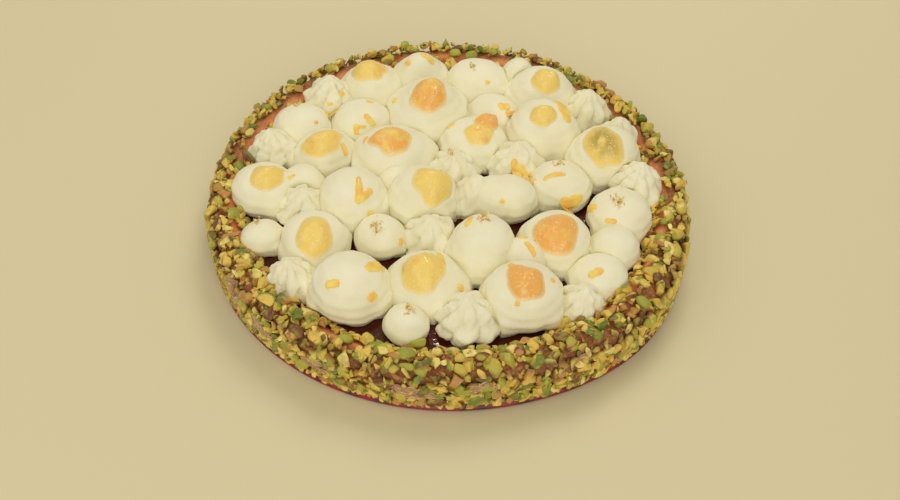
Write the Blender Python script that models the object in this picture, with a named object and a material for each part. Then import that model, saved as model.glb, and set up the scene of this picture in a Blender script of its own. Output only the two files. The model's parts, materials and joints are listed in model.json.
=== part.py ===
"""Round jam tart: a nut-coated shortcrust shell, dark jam, piped cream and jelly drops.

The origin is the centre of the base, on the surface that the tart stands on, +Z is up,
and the side that the tart is shown from faces -Y. Lengths are metres; the lists of
pieces are in millimetres, as the hand that lays them out would measure them.
"""
import math
import random

import bmesh
import bpy
from mathutils import Matrix, Vector

MM = 0.001
GAP = 0.0003              # clear space between pieces that touch
SHARP_ANGLE = math.radians(42)

# Shell
SHELL_RADIUS = 0.121      # outside of the crust, under the nuts
FOOT_RADIUS = 0.126       # the crust's foot, a lip that spreads out below the nuts
FOOT_BEVEL = 0.0006
FOOT_HEIGHT = 0.0022      # top of the lip
FOOT_RUN = 0.0016         # height over which the side draws in from the lip to the coat
COAT = 0.0021             # thickness of the layer that holds the nuts
COAT_TOP = 0.0163         # height where the side starts to draw in
SHOULDER = 0.0208         # height where the side turns into the rim
RIM_HEIGHT = 0.0226
RIM_OUTER = 0.1180        # the rim's rounded top runs between these two radii
RIM_INNER = 0.1140
SLOPE_TOP = (0.1112, 0.0210)
WELL_RADIUS = 0.1053      # inside of the wall
SLOPE_FOOT = 0.0152       # height where the wall's upright inside turns into the slope
SLOPE = (SLOPE_TOP[1] - SLOPE_FOOT) / (SLOPE_TOP[0] - WELL_RADIUS)
FLOOR_THICKNESS = 0.0050
SHELL_STEPS = 60
WAVES = ((3, 0.00035, 0.4), (5, 0.00025, 1.9), (11, 0.00018, 0.8))   # count, height, phase
WAVY_ABOVE = 0.0200       # above this height the shell also rises and falls
RISE_PHASE = 1.3          # the rise lags the waves of the radius by this angle
BULGE = 0.0038            # how much further the side stands out where it bulges
BULGE_AT = math.radians(-42)
BULGE_SPAN = math.radians(24)

# Jam
JAM_LEVEL = 0.0160

# Nuts fused to the shell
NUT_SEED = 11
NUT_CORNERS = 10
NUT_LENGTH = (0.0080, 0.0105)
NUT_SLENDER = (0.60, 0.82)        # width over length
NUT_FLAT = (0.44, 0.62)           # thickness over length
NUT_SUNK = 0.18                   # share of the thickness that lies under the surface
NUT_TIP = math.radians(14)        # most that a piece tips on its bed
CORNER_TURN = 0.35                # most that a corner is shifted round the piece, in radians
CORNER_REACH = (0.88, 1.08)       # how far out the corners lie
SIDE_ROWS = ((0.0085, 47), (0.0160, 47))      # height on the side, pieces in the row
RIM_ROWS = ((0.1190, 46), (0.1135, 42))       # radius on the rim, pieces in the row
ROW_SCATTER = 0.22                # shift along a row, as a share of the pitch
SIDE_SCATTER = 0.0014             # shift up or down the side
RIM_SCATTER = 0.0010              # shift across the rim
NUT_CLEARANCE = 0.0012            # to the cream

# Cream: name, x, y, radius and height above the jam, in millimetres, back rows first
SMOOTH = (
    ("cream_01", -45, 83, 18, 21), ("cream_02", -17, 94, 16, 22), ("cream_03", 17, 87, 18, 19),
    ("cream_04", 40, 94, 10, 18), ("cream_05", 53, 75, 20, 23), ("cream_06", -12, 60, 22, 27),
    ("cream_07", -82, 47, 16, 16), ("cream_08", -49, 51, 16, 17), ("cream_09", 25, 59, 15, 15),
    ("cream_10", 52, 42, 19, 25), ("cream_11", -67, 24, 16, 21), ("cream_12", -29, 22, 22, 23),
    ("cream_13", 14, 34, 18, 18), ("cream_14", 84, 23, 19, 25), ("cream_15", -96, -6, 17, 19),
    ("cream_16", -49, -13, 18, 23), ("cream_17", -13, -9, 18, 23), ("cream_18", 32, -10, 14, 19),
    ("cream_19", 59, 0, 16, 19), ("cream_20", 88, -21, 17, 18), ("cream_21", -93, -38, 11, 14),
    ("cream_22", -66, -41, 17, 18), ("cream_23", -34, -37, 13, 15), ("cream_24", 17, -47, 17, 24),
    ("cream_25", 53, -40, 18, 20), ("cream_26", 38, -52, 12, 18), ("cream_27", 83, -44, 13, 17),
    ("cream_28", 73, -62, 14, 15), ("cream_29", -46, -73, 19, 23), ("cream_30", -9, -68, 19, 20),
    ("cream_31", 36, -77, 19, 22), ("cream_32", -19, -92, 11, 14),
)
# Rosettes from a star nozzle: name, x, y, radius, height, ridges, first ridge in degrees
ROSETTES = (
    ("rosette_01", -69, 71, 14, 23, 7, 10), ("rosette_02", 78, 63, 13, 22, 7, 35),
    ("rosette_03", 94, 41, 11, 20, 6, 0), ("rosette_04", -95, 27, 13, 20, 7, 20),
    ("rosette_05", 2, 12, 14, 19, 7, 5), ("rosette_06", 36, 19, 14, 21, 6, 40),
    ("rosette_07", -75, -16, 13, 19, 7, 15), ("rosette_08", 99, 2, 14, 22, 8, 25),
    ("rosette_09", -9, -35, 13, 18, 7, 30), ("rosette_10", 64, -78, 11, 17, 7, 12),
    ("rosette_11", -75, -65, 12, 18, 8, 0), ("rosette_12", 10, -88, 14, 20, 7, 50),
)
# Masses that ran into the smooth dollop beside them, so the two are one piece: the dollop,
# then x, y, radius, height, ridges (0 if smooth) and first ridge
JOINED = (
    ("cream_18", 13, -7, 12, 20, 7, 20), ("cream_15", -77, -1, 12, 17, 0, 0),
    ("cream_12", -27, 2, 12, 16, 0, 0),
)

# Jelly drops: name, the cream under it, x and y from that cream's centre, length, width,
# turn in degrees and height above the seat, in millimetres
JELLY = (
    ("jelly_01", "cream_01", -1, -2, 20, 17, 0, 6), ("jelly_02", "cream_05", 2, -6, 18, 16, 40, 6),
    ("jelly_03", "cream_06", 1, -6, 22, 20, 60, 7), ("jelly_04", "cream_10", -1, -4, 14, 13, 0, 5),
    ("jelly_05", "cream_11", -1, -5, 22, 17, 10, 6), ("jelly_06", "cream_12", -1, -3, 23, 18, 0, 6),
    ("jelly_07", "cream_13", 2, 2, 20, 15, 55, 6), ("jelly_08", "cream_14", -2, -8, 24, 21, 100, 7),
    ("jelly_09", "cream_15", 3, -3, 17, 15, 0, 5), ("jelly_10", "cream_17", 5, -5, 23, 19, 150, 7),
    ("jelly_11", "cream_22", 1, -6, 22, 18, 90, 6), ("jelly_12", "cream_25", 0, -5, 23, 21, 60, 7),
    ("jelly_13", "cream_31", 1, -3, 18, 16, 95, 6), ("jelly_14", "cream_30", -3, -3, 21, 20, 0, 6),
)
# Candied peel: the cream under it, x and y from that cream's centre, length, width, turn
PEEL = (
    ("cream_02", 5, -5, 12, 4, 110), ("cream_05", 12, -13, 9, 4, 80), ("cream_08", 4, -7, 10, 4, 140),
    ("cream_09", 6, -5, 11, 4, 150), ("cream_10", 13, 5, 12, 5, 95), ("cream_11", 10, -9, 6, 3, 30),
    ("cream_12", -8, -14, 6, 3, 60), ("cream_16", 6, -7, 13, 5, 75), ("cream_19", -1, -3, 8, 4, 20),
    ("cream_20", -6, -10, 8, 4, 10), ("cream_24", -6, 5, 7, 3, 60), ("cream_25", 11, 8, 8, 4, 165),
    ("cream_26", 0, -3, 8, 3, 130), ("cream_28", -2, -3, 8, 4, 30), ("cream_29", 12, 5, 10, 4, 40),
    ("cream_29", -8, -9, 7, 3, 15), ("cream_30", 13, 6, 9, 3, 95),
)
PEEL_THICKNESS = 0.0022
PEEL_BEND = 0.0012
PEEL_RINGS = ((-0.5, 0.55), (0.0, 1.0), (0.5, 0.70))     # place along it, share of its width

# Height share and radius share up a smooth dollop and up a rosette; each ends in a peak
SMOOTH_PROFILE = ((0.0, 0.84), (0.28, 1.0), (0.58, 0.90), (0.82, 0.60), (0.955, 0.23))
ROSETTE_PROFILE = ((0.0, 0.90), (0.20, 1.0), (0.46, 0.84), (0.70, 0.54), (0.90, 0.24))
WIDEST = 0.34             # height share of a dollop's widest place
DOME_EDGE = 0.96          # share of the squared radius beyond which the dome falls no further
RIDGE_DEPTH = 0.13
RIDGE_TWIST = math.radians(38)
SMOOTH_STEPS = 12
LEAN = (0.03, 0.14)       # how far a peak leans, as a share of the radius
OVAL = 0.04               # most that a piece is out of round
JELLY_PROFILE = ((0.0, 1.0), (0.50, 0.93), (0.88, 0.58))
JELLY_STEPS = 12
JELLY_WAVES = ((2, 0.05), (3, 0.04))      # waves round a drop's edge, and their depth
CREAM_SEED = 5
CLAMP_PASSES = 14

# Colour and roughness
CREAM_FINISH = ((0.82, 0.78, 0.58, 1), 0.45)
JELLY_FINISH = ((0.86, 0.50, 0.12, 1), 0.12)
JAM_FINISH = ((0.075, 0.012, 0.008, 1), 0.15)
SHELL_FINISH = ((0.50, 0.36, 0.10, 1), 0.60)


def finish(obj, colour, roughness):
    """Give an object a material of its own, and smooth shading up to its sharp edges."""
    material = bpy.data.materials.new(obj.name + "_finish")
    material.use_nodes = True
    shader = material.node_tree.nodes["Principled BSDF"]
    shader.inputs["Base Color"].default_value = colour
    shader.inputs["Roughness"].default_value = roughness
    shader.inputs["Metallic"].default_value = 0.0
    obj.data.materials.clear()
    obj.data.materials.append(material)
    obj.data.shade_smooth()
    obj.data.set_sharp_from_angle(angle=SHARP_ANGLE)


def to_object(name, mesh_edit):
    """Turn an edit mesh into a named object in the scene."""
    bmesh.ops.recalc_face_normals(mesh_edit, faces=mesh_edit.faces)
    mesh = bpy.data.meshes.new(name)
    mesh_edit.to_mesh(mesh)
    mesh_edit.free()
    obj = bpy.data.objects.new(name, mesh)
    bpy.context.scene.collection.objects.link(obj)
    return obj


def stack(rings, peak=None):
    """Close rings of points into one body, with a flat foot and a peak or a flat top."""
    mesh_edit = bmesh.new()
    loops = [[mesh_edit.verts.new(point) for point in ring] for ring in rings]
    for lower, upper in zip(loops, loops[1:]):
        for i in range(len(lower)):
            j = (i + 1) % len(lower)
            mesh_edit.faces.new((lower[i], lower[j], upper[j], upper[i]))
    mesh_edit.faces.new(list(reversed(loops[0])))
    if peak is None:
        mesh_edit.faces.new(loops[-1])
    else:
        tip = mesh_edit.verts.new(peak)
        for i in range(len(loops[-1])):
            mesh_edit.faces.new((loops[-1][i], loops[-1][(i + 1) % len(loops[-1])], tip))
    return mesh_edit


def fuse(obj, pieces):
    """Join small pieces to an object by one union, and remove them."""
    group = bpy.data.collections.new(obj.name + "_pieces")
    bpy.context.scene.collection.children.link(group)
    for piece in pieces:
        bpy.context.scene.collection.objects.unlink(piece)
        group.objects.link(piece)
    union = obj.modifiers.new("union", "BOOLEAN")
    union.operation = "UNION"
    union.operand_type = "COLLECTION"
    union.collection = group
    union.solver = "EXACT"
    graph = bpy.context.evaluated_depsgraph_get()
    graph.update()
    joined = bpy.data.meshes.new_from_object(obj.evaluated_get(graph))
    obj.modifiers.clear()
    obj.data = joined
    for piece in pieces:
        bpy.data.objects.remove(piece)
    bpy.data.collections.remove(group)


def wave(angle):
    """Unevenness of the shell round its axis."""
    return sum(height * math.sin(count * angle + phase) for count, height, phase in WAVES)


def bulge(angle, radius):
    """How much further the side stands out at an angle; the rim and all inside it keep their place."""
    apart = math.remainder(angle - BULGE_AT, math.tau)
    outside = min(max((radius - RIM_OUTER) / (SHELL_RADIUS - RIM_OUTER), 0.0), 1.0)
    return BULGE * outside * math.exp(-(apart / BULGE_SPAN) ** 2)


def shell_profile():
    """Points of the shell's section from its foot to the floor inside, and their share of the waves."""
    coat_radius = SHELL_RADIUS + COAT
    return (
        (FOOT_RADIUS - FOOT_BEVEL, 0.0, 0.0),
        (FOOT_RADIUS, FOOT_BEVEL, 0.0),
        (FOOT_RADIUS, FOOT_HEIGHT, 0.5),
        (coat_radius, FOOT_HEIGHT + FOOT_RUN, 1.0),
        (coat_radius, COAT_TOP, 1.0),
        (SHELL_RADIUS, SHOULDER, 1.0),
        (RIM_OUTER, RIM_HEIGHT, 1.0),
        (RIM_INNER, RIM_HEIGHT, 1.0),
        (*SLOPE_TOP, 0.5),
        (WELL_RADIUS, SLOPE_FOOT, 0.0),
        (WELL_RADIUS, FLOOR_THICKNESS, 0.0),
    )


def make_shell():
    """The crust's body: its section spun round the axis, with the rim a little uneven."""
    mesh_edit = bmesh.new()
    profile = shell_profile()
    points = [mesh_edit.verts.new((radius, 0, height)) for radius, height, _ in profile]
    edges = [mesh_edit.edges.new(pair) for pair in zip(points, points[1:])]
    bmesh.ops.spin(mesh_edit, geom=points + edges, cent=(0, 0, 0), axis=(0, 0, 1),
                   angle=math.tau, steps=SHELL_STEPS, use_merge=True)
    shares = {round(height / MM, 2): share for _, height, share in profile}
    for vert in mesh_edit.verts:
        share = shares.get(round(vert.co.z / MM, 2), 0.0)
        angle = math.atan2(vert.co.y, vert.co.x)
        lift = wave(angle) * share + bulge(angle, math.hypot(vert.co.x, vert.co.y))
        vert.co.x += lift * math.cos(angle)
        vert.co.y += lift * math.sin(angle)
        if vert.co.z > WAVY_ABOVE:
            vert.co.z += wave(angle + RISE_PHASE) * share
    bmesh.ops.holes_fill(mesh_edit, edges=[e for e in mesh_edit.edges if e.is_boundary],
                         sides=SHELL_STEPS)
    return to_object("crust", mesh_edit)


def make_jam():
    """The jam: a disc that fills the well and reaches a little way up the slope."""
    edge = WELL_RADIUS - GAP
    shore = WELL_RADIUS + (JAM_LEVEL - SLOPE_FOOT) / SLOPE - 2 * GAP
    levels = ((edge, FLOOR_THICKNESS + GAP), (edge, SLOPE_FOOT - GAP), (shore, JAM_LEVEL))
    rings = [[Vector((radius * math.cos(i * math.tau / SHELL_STEPS),
                      radius * math.sin(i * math.tau / SHELL_STEPS), height))
              for i in range(SHELL_STEPS)] for radius, height in levels]
    jam = to_object("jam", stack(rings))
    finish(jam, *JAM_FINISH)


def cream_plans():
    """Every piped mass as a plan: node, centre, radius, height, ridges and whether it joins another."""
    rows = [(*row, 0, 0, False) for row in SMOOTH]
    rows += [(*row, False) for row in ROSETTES] + [(*row, True) for row in JOINED]
    return [dict(node=name, x=x * MM, y=y * MM, radius=radius * MM, height=height * MM,
                 ridges=ridges, first=math.radians(first), joins=joins)
            for name, x, y, radius, height, ridges, first, joins in rows]


def walls_between(plan, plans):
    """Upright planes, as point and inward normal, that part a piece from its neighbours."""
    walls = []
    for other in plans:
        if other["node"] == plan["node"]:
            continue
        away = Vector((other["x"] - plan["x"], other["y"] - plan["y"], 0))
        distance = away.length
        reach = (1 + RIDGE_DEPTH) * (plan["radius"] + other["radius"])
        if distance > reach + GAP:
            continue
        # The line along which two circles have equal power parts them fairly
        share = (distance ** 2 + plan["radius"] ** 2 - other["radius"] ** 2) / (2 * distance)
        away.normalize()
        centre = Vector((plan["x"], plan["y"], 0))
        walls.append((centre + away * (share - GAP / 2), -away))
    return walls


def dome_height(plan, dx, dy):
    """Height of a dollop's upper dome over a place given from its centre."""
    share = min((dx * dx + dy * dy) / plan["radius"] ** 2, DOME_EDGE)
    return JAM_LEVEL + plan["height"] * (WIDEST + (1 - WIDEST) * math.sqrt(1 - share))


def dome_normal(plan, dx, dy):
    """Direction that the upper dome faces over a place given from its centre."""
    rise = dome_height(plan, dx, dy) - JAM_LEVEL - plan["height"] * WIDEST
    cap = plan["height"] * (1 - WIDEST)
    return Vector((dx / plan["radius"] ** 2, dy / plan["radius"] ** 2, rise / cap ** 2)).normalized()


def seat_plane(plan, dx, dy, length, width):
    """The flat that a jelly drop sits on, as a point on it and its outward normal."""
    normal = dome_normal(plan, dx, dy)
    bend = plan["radius"] ** 2 / (plan["height"] * (1 - WIDEST))
    half = (length + width) / 4
    depth = half ** 2 / (2 * bend)
    top = Vector((plan["x"] + dx, plan["y"] + dy, dome_height(plan, dx, dy)))
    return top - normal * depth, normal


def keep_inside(point, walls):
    """Move a point back over every plane that it has crossed, clear of jam and shell."""
    point = point.copy()
    for _ in range(CLAMP_PASSES):
        for spot, inward in walls:
            depth = (point - spot).dot(inward)
            if depth < 0:
                point -= inward * depth
        point.z = max(point.z, JAM_LEVEL + GAP)
        limit = WELL_RADIUS + (point.z - SLOPE_FOOT) / SLOPE - 2 * GAP
        radius = math.hypot(point.x, point.y)
        if radius > limit:
            point.x *= limit / radius
            point.y *= limit / radius
    return point


def make_piped(name, plan, walls, draw):
    """One piped piece: a smooth dollop, or a rosette whose ridges wind up to its peak."""
    profile = ROSETTE_PROFILE if plan["ridges"] else SMOOTH_PROFILE
    steps = 2 * plan["ridges"] if plan["ridges"] else SMOOTH_STEPS
    lean = plan["radius"] * draw.uniform(*LEAN)
    heading = draw.uniform(0, math.tau)
    oval = draw.uniform(-OVAL, OVAL)
    rings = []
    for up, share in profile:
        ring = []
        for i in range(steps):
            angle = plan["first"] + RIDGE_TWIST * up * bool(plan["ridges"]) + i * math.tau / steps
            radius = plan["radius"] * share * (1 + oval * math.cos(2 * (angle - heading)))
            if plan["ridges"]:
                radius *= 1 + (RIDGE_DEPTH if i % 2 == 0 else -RIDGE_DEPTH)
            point = Vector((plan["x"] + radius * math.cos(angle) + lean * up ** 2 * math.cos(heading),
                            plan["y"] + radius * math.sin(angle) + lean * up ** 2 * math.sin(heading),
                            JAM_LEVEL + GAP + plan["height"] * up))
            ring.append(keep_inside(point, walls))
        rings.append(ring)
    peak = Vector((plan["x"] + lean * math.cos(heading), plan["y"] + lean * math.sin(heading),
                   JAM_LEVEL + GAP + plan["height"]))
    return to_object(name, stack(rings, keep_inside(peak, walls)))


def make_jelly(name, seat, length, width, turn, height, walls):
    """A jelly drop: a low dome with a flat foot on its seat."""
    spot, normal = seat
    along = Vector((math.cos(turn), math.sin(turn), 0))
    along = (along - normal * along.dot(normal)).normalized()
    across = normal.cross(along)
    rings = []
    for up, share in JELLY_PROFILE:
        ring = []
        for i in range(JELLY_STEPS):
            angle = i * math.tau / JELLY_STEPS
            uneven = 1 + sum(depth * math.sin(count * angle + turn) for count, depth in JELLY_WAVES)
            point = (spot + along * (length / 2 * share * uneven * math.cos(angle))
                     + across * (width / 2 * share * uneven * math.sin(angle))
                     + normal * (GAP + height * up))
            ring.append(point)
        rings.append(ring)
    own_seat = (spot + normal * GAP, normal)
    rings = [[keep_inside(point, walls + [own_seat]) for point in ring] for ring in rings]
    peak = keep_inside(spot + normal * (GAP + height), walls + [own_seat])
    drop = to_object(name, stack(rings, peak))
    finish(drop, *JELLY_FINISH)


def make_peel(plan, dx, dy, length, width, turn, walls):
    """A strip of candied peel, a little bent, half sunk in the cream."""
    normal = dome_normal(plan, dx, dy)
    spot = Vector((plan["x"] + dx, plan["y"] + dy, dome_height(plan, dx, dy)))
    along = Vector((math.cos(turn), math.sin(turn), 0))
    along = (along - normal * along.dot(normal)).normalized()
    across = normal.cross(along)
    rings = []
    for place, share in PEEL_RINGS:
        centre = spot + along * (length * place) - normal * (PEEL_BEND * (2 * place) ** 2)
        half = across * (width / 2 * share)
        rise = normal * (PEEL_THICKNESS / 2)
        rings.append([centre - half - rise, centre + half - rise, centre + half + rise,
                      centre - half + rise])
    rings = [[keep_inside(point, walls) for point in ring] for ring in rings]
    return to_object("peel", stack(rings))


def make_cream():
    """All the piped cream with its peel, and the jelly drops on it."""
    draw = random.Random(CREAM_SEED)
    plans = cream_plans()
    smooth = {plan["node"]: plan for plan in plans if not plan["ridges"] and not plan["joins"]}
    cells = {node: walls_between(plan, plans) for node, plan in smooth.items()}
    seats = {}
    for name, node, dx, dy, length, width, turn, height in JELLY:
        seat = seat_plane(smooth[node], dx * MM, dy * MM, length * MM, width * MM)
        seats[node] = seat
        make_jelly(name, seat, length * MM, width * MM, math.radians(turn), height * MM, cells[node])
    for plan in plans:
        node = plan["node"]
        walls = walls_between(plan, plans)
        if node in seats:
            spot, normal = seats[node]
            walls.append((spot, -normal))
        piped = make_piped("joined" if plan["joins"] else node, plan, walls, draw)
        if plan["joins"]:
            fuse(bpy.data.objects[node], [piped])
            finish(bpy.data.objects[node], *CREAM_FINISH)
            continue
        strips = [make_peel(plan, dx * MM, dy * MM, length * MM, width * MM, math.radians(turn), walls)
                  for owner, dx, dy, length, width, turn in PEEL if owner == node]
        if strips:
            fuse(piped, strips)
        finish(piped, *CREAM_FINISH)


def make_nut(spot, normal, draw):
    """One piece of chopped nut: the hull of a few points on a flattened egg."""
    length = draw.uniform(*NUT_LENGTH)
    width = length * draw.uniform(*NUT_SLENDER)
    thick = length * draw.uniform(*NUT_FLAT)
    frame = normal.to_track_quat("Z", "Y").to_matrix() @ Matrix.Rotation(draw.uniform(0, math.tau), 3, "Z")
    frame = frame @ Matrix.Rotation(draw.uniform(-NUT_TIP, NUT_TIP), 3, "X")
    centre = spot + normal * (thick * (0.5 - NUT_SUNK))
    mesh_edit = bmesh.new()
    for i in range(NUT_CORNERS):
        # Points spread evenly over a ball, each shifted a little
        high = 1 - 2 * (i + 0.5) / NUT_CORNERS
        angle = i * math.pi * (3 - math.sqrt(5)) + draw.uniform(-CORNER_TURN, CORNER_TURN)
        flat = math.sqrt(1 - high * high)
        local = Vector((length / 2 * flat * math.cos(angle), width / 2 * flat * math.sin(angle),
                        thick / 2 * high)) * draw.uniform(*CORNER_REACH)
        mesh_edit.verts.new(centre + frame @ local)
    hull = bmesh.ops.convex_hull(mesh_edit, input=mesh_edit.verts)
    inner = [e for e in hull["geom_interior"] if isinstance(e, bmesh.types.BMVert)]
    bmesh.ops.delete(mesh_edit, geom=inner, context="VERTS")
    return to_object("nut", mesh_edit)


def shell_radius_at(height):
    """Outer radius of the shell's coat at a height on its side."""
    profile = shell_profile()
    for (low_radius, low, _), (high_radius, high, _) in zip(profile[2:], profile[3:7]):
        if low <= height <= high:
            return low_radius + (high_radius - low_radius) * (height - low) / (high - low)
    return SHELL_RADIUS


def shell_top_at(radius):
    """Height of the rim's top, and how far it faces outward, at a radius."""
    profile = shell_profile()
    for (outer, high, _), (inner, low, _) in zip(profile[5:], profile[6:10]):
        if inner <= radius <= outer:
            share = (outer - radius) / (outer - inner)
            return high + (low - high) * share, (high - low) / (outer - inner)
    return RIM_HEIGHT, 0.0


def coat_with_nuts(shell):
    """Scatter the larger nut pieces over the side and the rim, clear of the cream, and fuse them."""
    draw = random.Random(NUT_SEED)
    plans = cream_plans()
    nuts = []
    for row, (height, count) in enumerate(SIDE_ROWS):
        for i in range(count):
            angle = (i + row / 2 + draw.uniform(-ROW_SCATTER, ROW_SCATTER)) * math.tau / count
            level = height + draw.uniform(-SIDE_SCATTER, SIDE_SCATTER)
            radius = shell_radius_at(level) + wave(angle) + bulge(angle, SHELL_RADIUS)
            outward = Vector((math.cos(angle), math.sin(angle), 0))
            nuts.append(make_nut(outward * radius + Vector((0, 0, level)), outward, draw))
    for row, (radius, count) in enumerate(RIM_ROWS):
        for i in range(count):
            angle = (i + row / 2 + draw.uniform(-ROW_SCATTER, ROW_SCATTER)) * math.tau / count
            place = radius + draw.uniform(-RIM_SCATTER, RIM_SCATTER)
            height, tilt = shell_top_at(place)
            outward = Vector((math.cos(angle), math.sin(angle), 0))
            spot = (outward * (place + wave(angle) + bulge(angle, place))
                    + Vector((0, 0, height + wave(angle + RISE_PHASE))))
            nearest = min(math.hypot(spot.x - plan["x"], spot.y - plan["y"])
                          - plan["radius"] * (1 + RIDGE_DEPTH * bool(plan["ridges"])) for plan in plans)
            if nearest < NUT_LENGTH[1] / 2 + NUT_CLEARANCE:
                continue
            nuts.append(make_nut(spot, Vector((-outward.x * tilt, -outward.y * tilt, 1)).normalized(), draw))
    fuse(shell, nuts)
    finish(shell, *SHELL_FINISH)


def main():
    for obj in list(bpy.data.objects):
        bpy.data.objects.remove(obj)
    make_jam()
    make_cream()
    coat_with_nuts(make_shell())


main()
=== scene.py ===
"""Looks of a round jam tart: nut-coated shell, dark jam, piped cream, jelly drops and peel.

Run as a script, it builds every piece in order round the solids of the frame. It is laid out as an add-on
whose panel in the 3D view's sidebar lists the same steps. Lengths are metres, and the layouts are in
millimetres.
"""
import json
import math
import random
from types import SimpleNamespace

import bmesh
import bpy
import numpy as np
from mathutils import Matrix, Quaternion, Vector
from mathutils.bvhtree import BVHTree

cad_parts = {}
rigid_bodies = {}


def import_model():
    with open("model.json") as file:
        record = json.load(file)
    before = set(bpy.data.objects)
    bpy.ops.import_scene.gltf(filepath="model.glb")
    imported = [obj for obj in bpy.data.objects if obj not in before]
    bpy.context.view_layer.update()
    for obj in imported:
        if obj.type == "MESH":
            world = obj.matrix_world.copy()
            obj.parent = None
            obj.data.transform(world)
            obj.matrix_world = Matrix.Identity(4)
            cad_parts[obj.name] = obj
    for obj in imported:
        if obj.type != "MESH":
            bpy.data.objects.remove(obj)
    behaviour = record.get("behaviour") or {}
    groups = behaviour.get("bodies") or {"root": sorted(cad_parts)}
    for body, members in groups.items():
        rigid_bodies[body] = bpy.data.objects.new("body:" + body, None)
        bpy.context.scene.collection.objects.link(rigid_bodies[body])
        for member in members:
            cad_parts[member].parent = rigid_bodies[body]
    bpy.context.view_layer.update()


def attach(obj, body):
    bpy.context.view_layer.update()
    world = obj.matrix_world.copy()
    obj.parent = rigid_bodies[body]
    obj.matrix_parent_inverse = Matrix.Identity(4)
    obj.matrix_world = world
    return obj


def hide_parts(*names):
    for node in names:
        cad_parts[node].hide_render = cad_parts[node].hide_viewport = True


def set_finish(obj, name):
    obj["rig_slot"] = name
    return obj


bl_info = {
    "name": "Round Jam Tart",
    "version": (1, 0, 0),
    "blender": (4, 5, 0),
    "location": "3D View > Sidebar > Tart",
    "description": "Builds the looks of a round jam tart with piped cream and chopped nuts",
    "category": "Object",
}

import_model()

MM = 0.001
# What the solids keep free between one another
GAP = 0.0003

# Shell: the same section as the solid
SHELL_RADIUS = 0.121
FOOT_RADIUS = 0.126
FOOT_HEIGHT = 0.0022
FOOT_RUN = 0.0016
COAT = 0.0021
COAT_TOP = 0.0163
SHOULDER = 0.0208
RIM_HEIGHT = 0.0226
RIM_OUTER = 0.1180
RIM_INNER = 0.1140
SLOPE_TOP = (0.1112, 0.0210)
WELL_RADIUS = 0.1053
SLOPE_FOOT = 0.0152
SLOPE = (SLOPE_TOP[1] - SLOPE_FOOT) / (SLOPE_TOP[0] - WELL_RADIUS)
FLOOR_THICKNESS = 0.0050
FOOT_ROUND = 0.0006
WAVES = ((3, 0.00035, 0.4), (5, 0.00025, 1.9), (11, 0.00018, 0.8))
WAVY_ABOVE = 0.0200
RISE_PHASE = 1.3
# How far the side bulges at the front right, where, and over what part of a turn
BULGE = 0.0038
BULGE_AT = math.radians(-42)
BULGE_SPAN = math.radians(24)
SHELL_STEPS = 300
SHELL_PITCH = 0.0007
# Roughness of the bare slope: size of its waves, their seed and height
CRAGS = ((0.0060, 31, 0.00018), (0.0022, 32, 0.00007))

# Jam: its level, the band at its edge that is divided finely, and its climb up the slope there
JAM_LEVEL = 0.0160
JAM_BAND = 0.030
JAM_RINGS = (40, 34)
JAM_STEPS = 240
JAM_LIP = (0.00025, 0.0008)
# Its lumps: size of the waves, their seed and share
JAM_WAVES = ((0.0110, 41, 1.0), (0.0045, 42, 0.5))

# Large nut pieces, which stand where the solid has them
NUT_SEED = 11
NUT_CORNERS = 10
NUT_LENGTH = (0.0080, 0.0105)
NUT_SLENDER = (0.60, 0.82)
NUT_FLAT = (0.44, 0.62)
NUT_SUNK = 0.18
NUT_TIP = math.radians(14)
CORNER_TURN = 0.35
CORNER_REACH = (0.88, 1.08)
SIDE_ROWS = ((0.0085, 47), (0.0160, 47))
RIM_ROWS = ((0.1190, 46), (0.1135, 42))
ROW_SCATTER = 0.22
SIDE_SCATTER = 0.0014
RIM_SCATTER = 0.0010
NUT_CLEARANCE = 0.0012

# Cream: name, x, y, radius and height above the jam, in millimetres
SMOOTH = (
    ("cream_01", -45, 83, 18, 21), ("cream_02", -17, 94, 16, 22), ("cream_03", 17, 87, 18, 19),
    ("cream_04", 40, 94, 10, 18), ("cream_05", 53, 75, 20, 23), ("cream_06", -12, 60, 22, 27),
    ("cream_07", -82, 47, 16, 16), ("cream_08", -49, 51, 16, 17), ("cream_09", 25, 59, 15, 15),
    ("cream_10", 52, 42, 19, 25), ("cream_11", -67, 24, 16, 21), ("cream_12", -29, 22, 22, 23),
    ("cream_13", 14, 34, 18, 18), ("cream_14", 84, 23, 19, 25), ("cream_15", -96, -6, 17, 19),
    ("cream_16", -49, -13, 18, 23), ("cream_17", -13, -9, 18, 23), ("cream_18", 32, -10, 14, 19),
    ("cream_19", 59, 0, 16, 19), ("cream_20", 88, -21, 17, 18), ("cream_21", -93, -38, 11, 14),
    ("cream_22", -66, -41, 17, 18), ("cream_23", -34, -37, 13, 15), ("cream_24", 17, -47, 17, 24),
    ("cream_25", 53, -40, 18, 20), ("cream_26", 38, -52, 12, 18), ("cream_27", 83, -44, 13, 17),
    ("cream_28", 73, -62, 14, 15), ("cream_29", -46, -73, 19, 23), ("cream_30", -9, -68, 19, 20),
    ("cream_31", 36, -77, 19, 22), ("cream_32", -19, -92, 11, 14),
)
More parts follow.
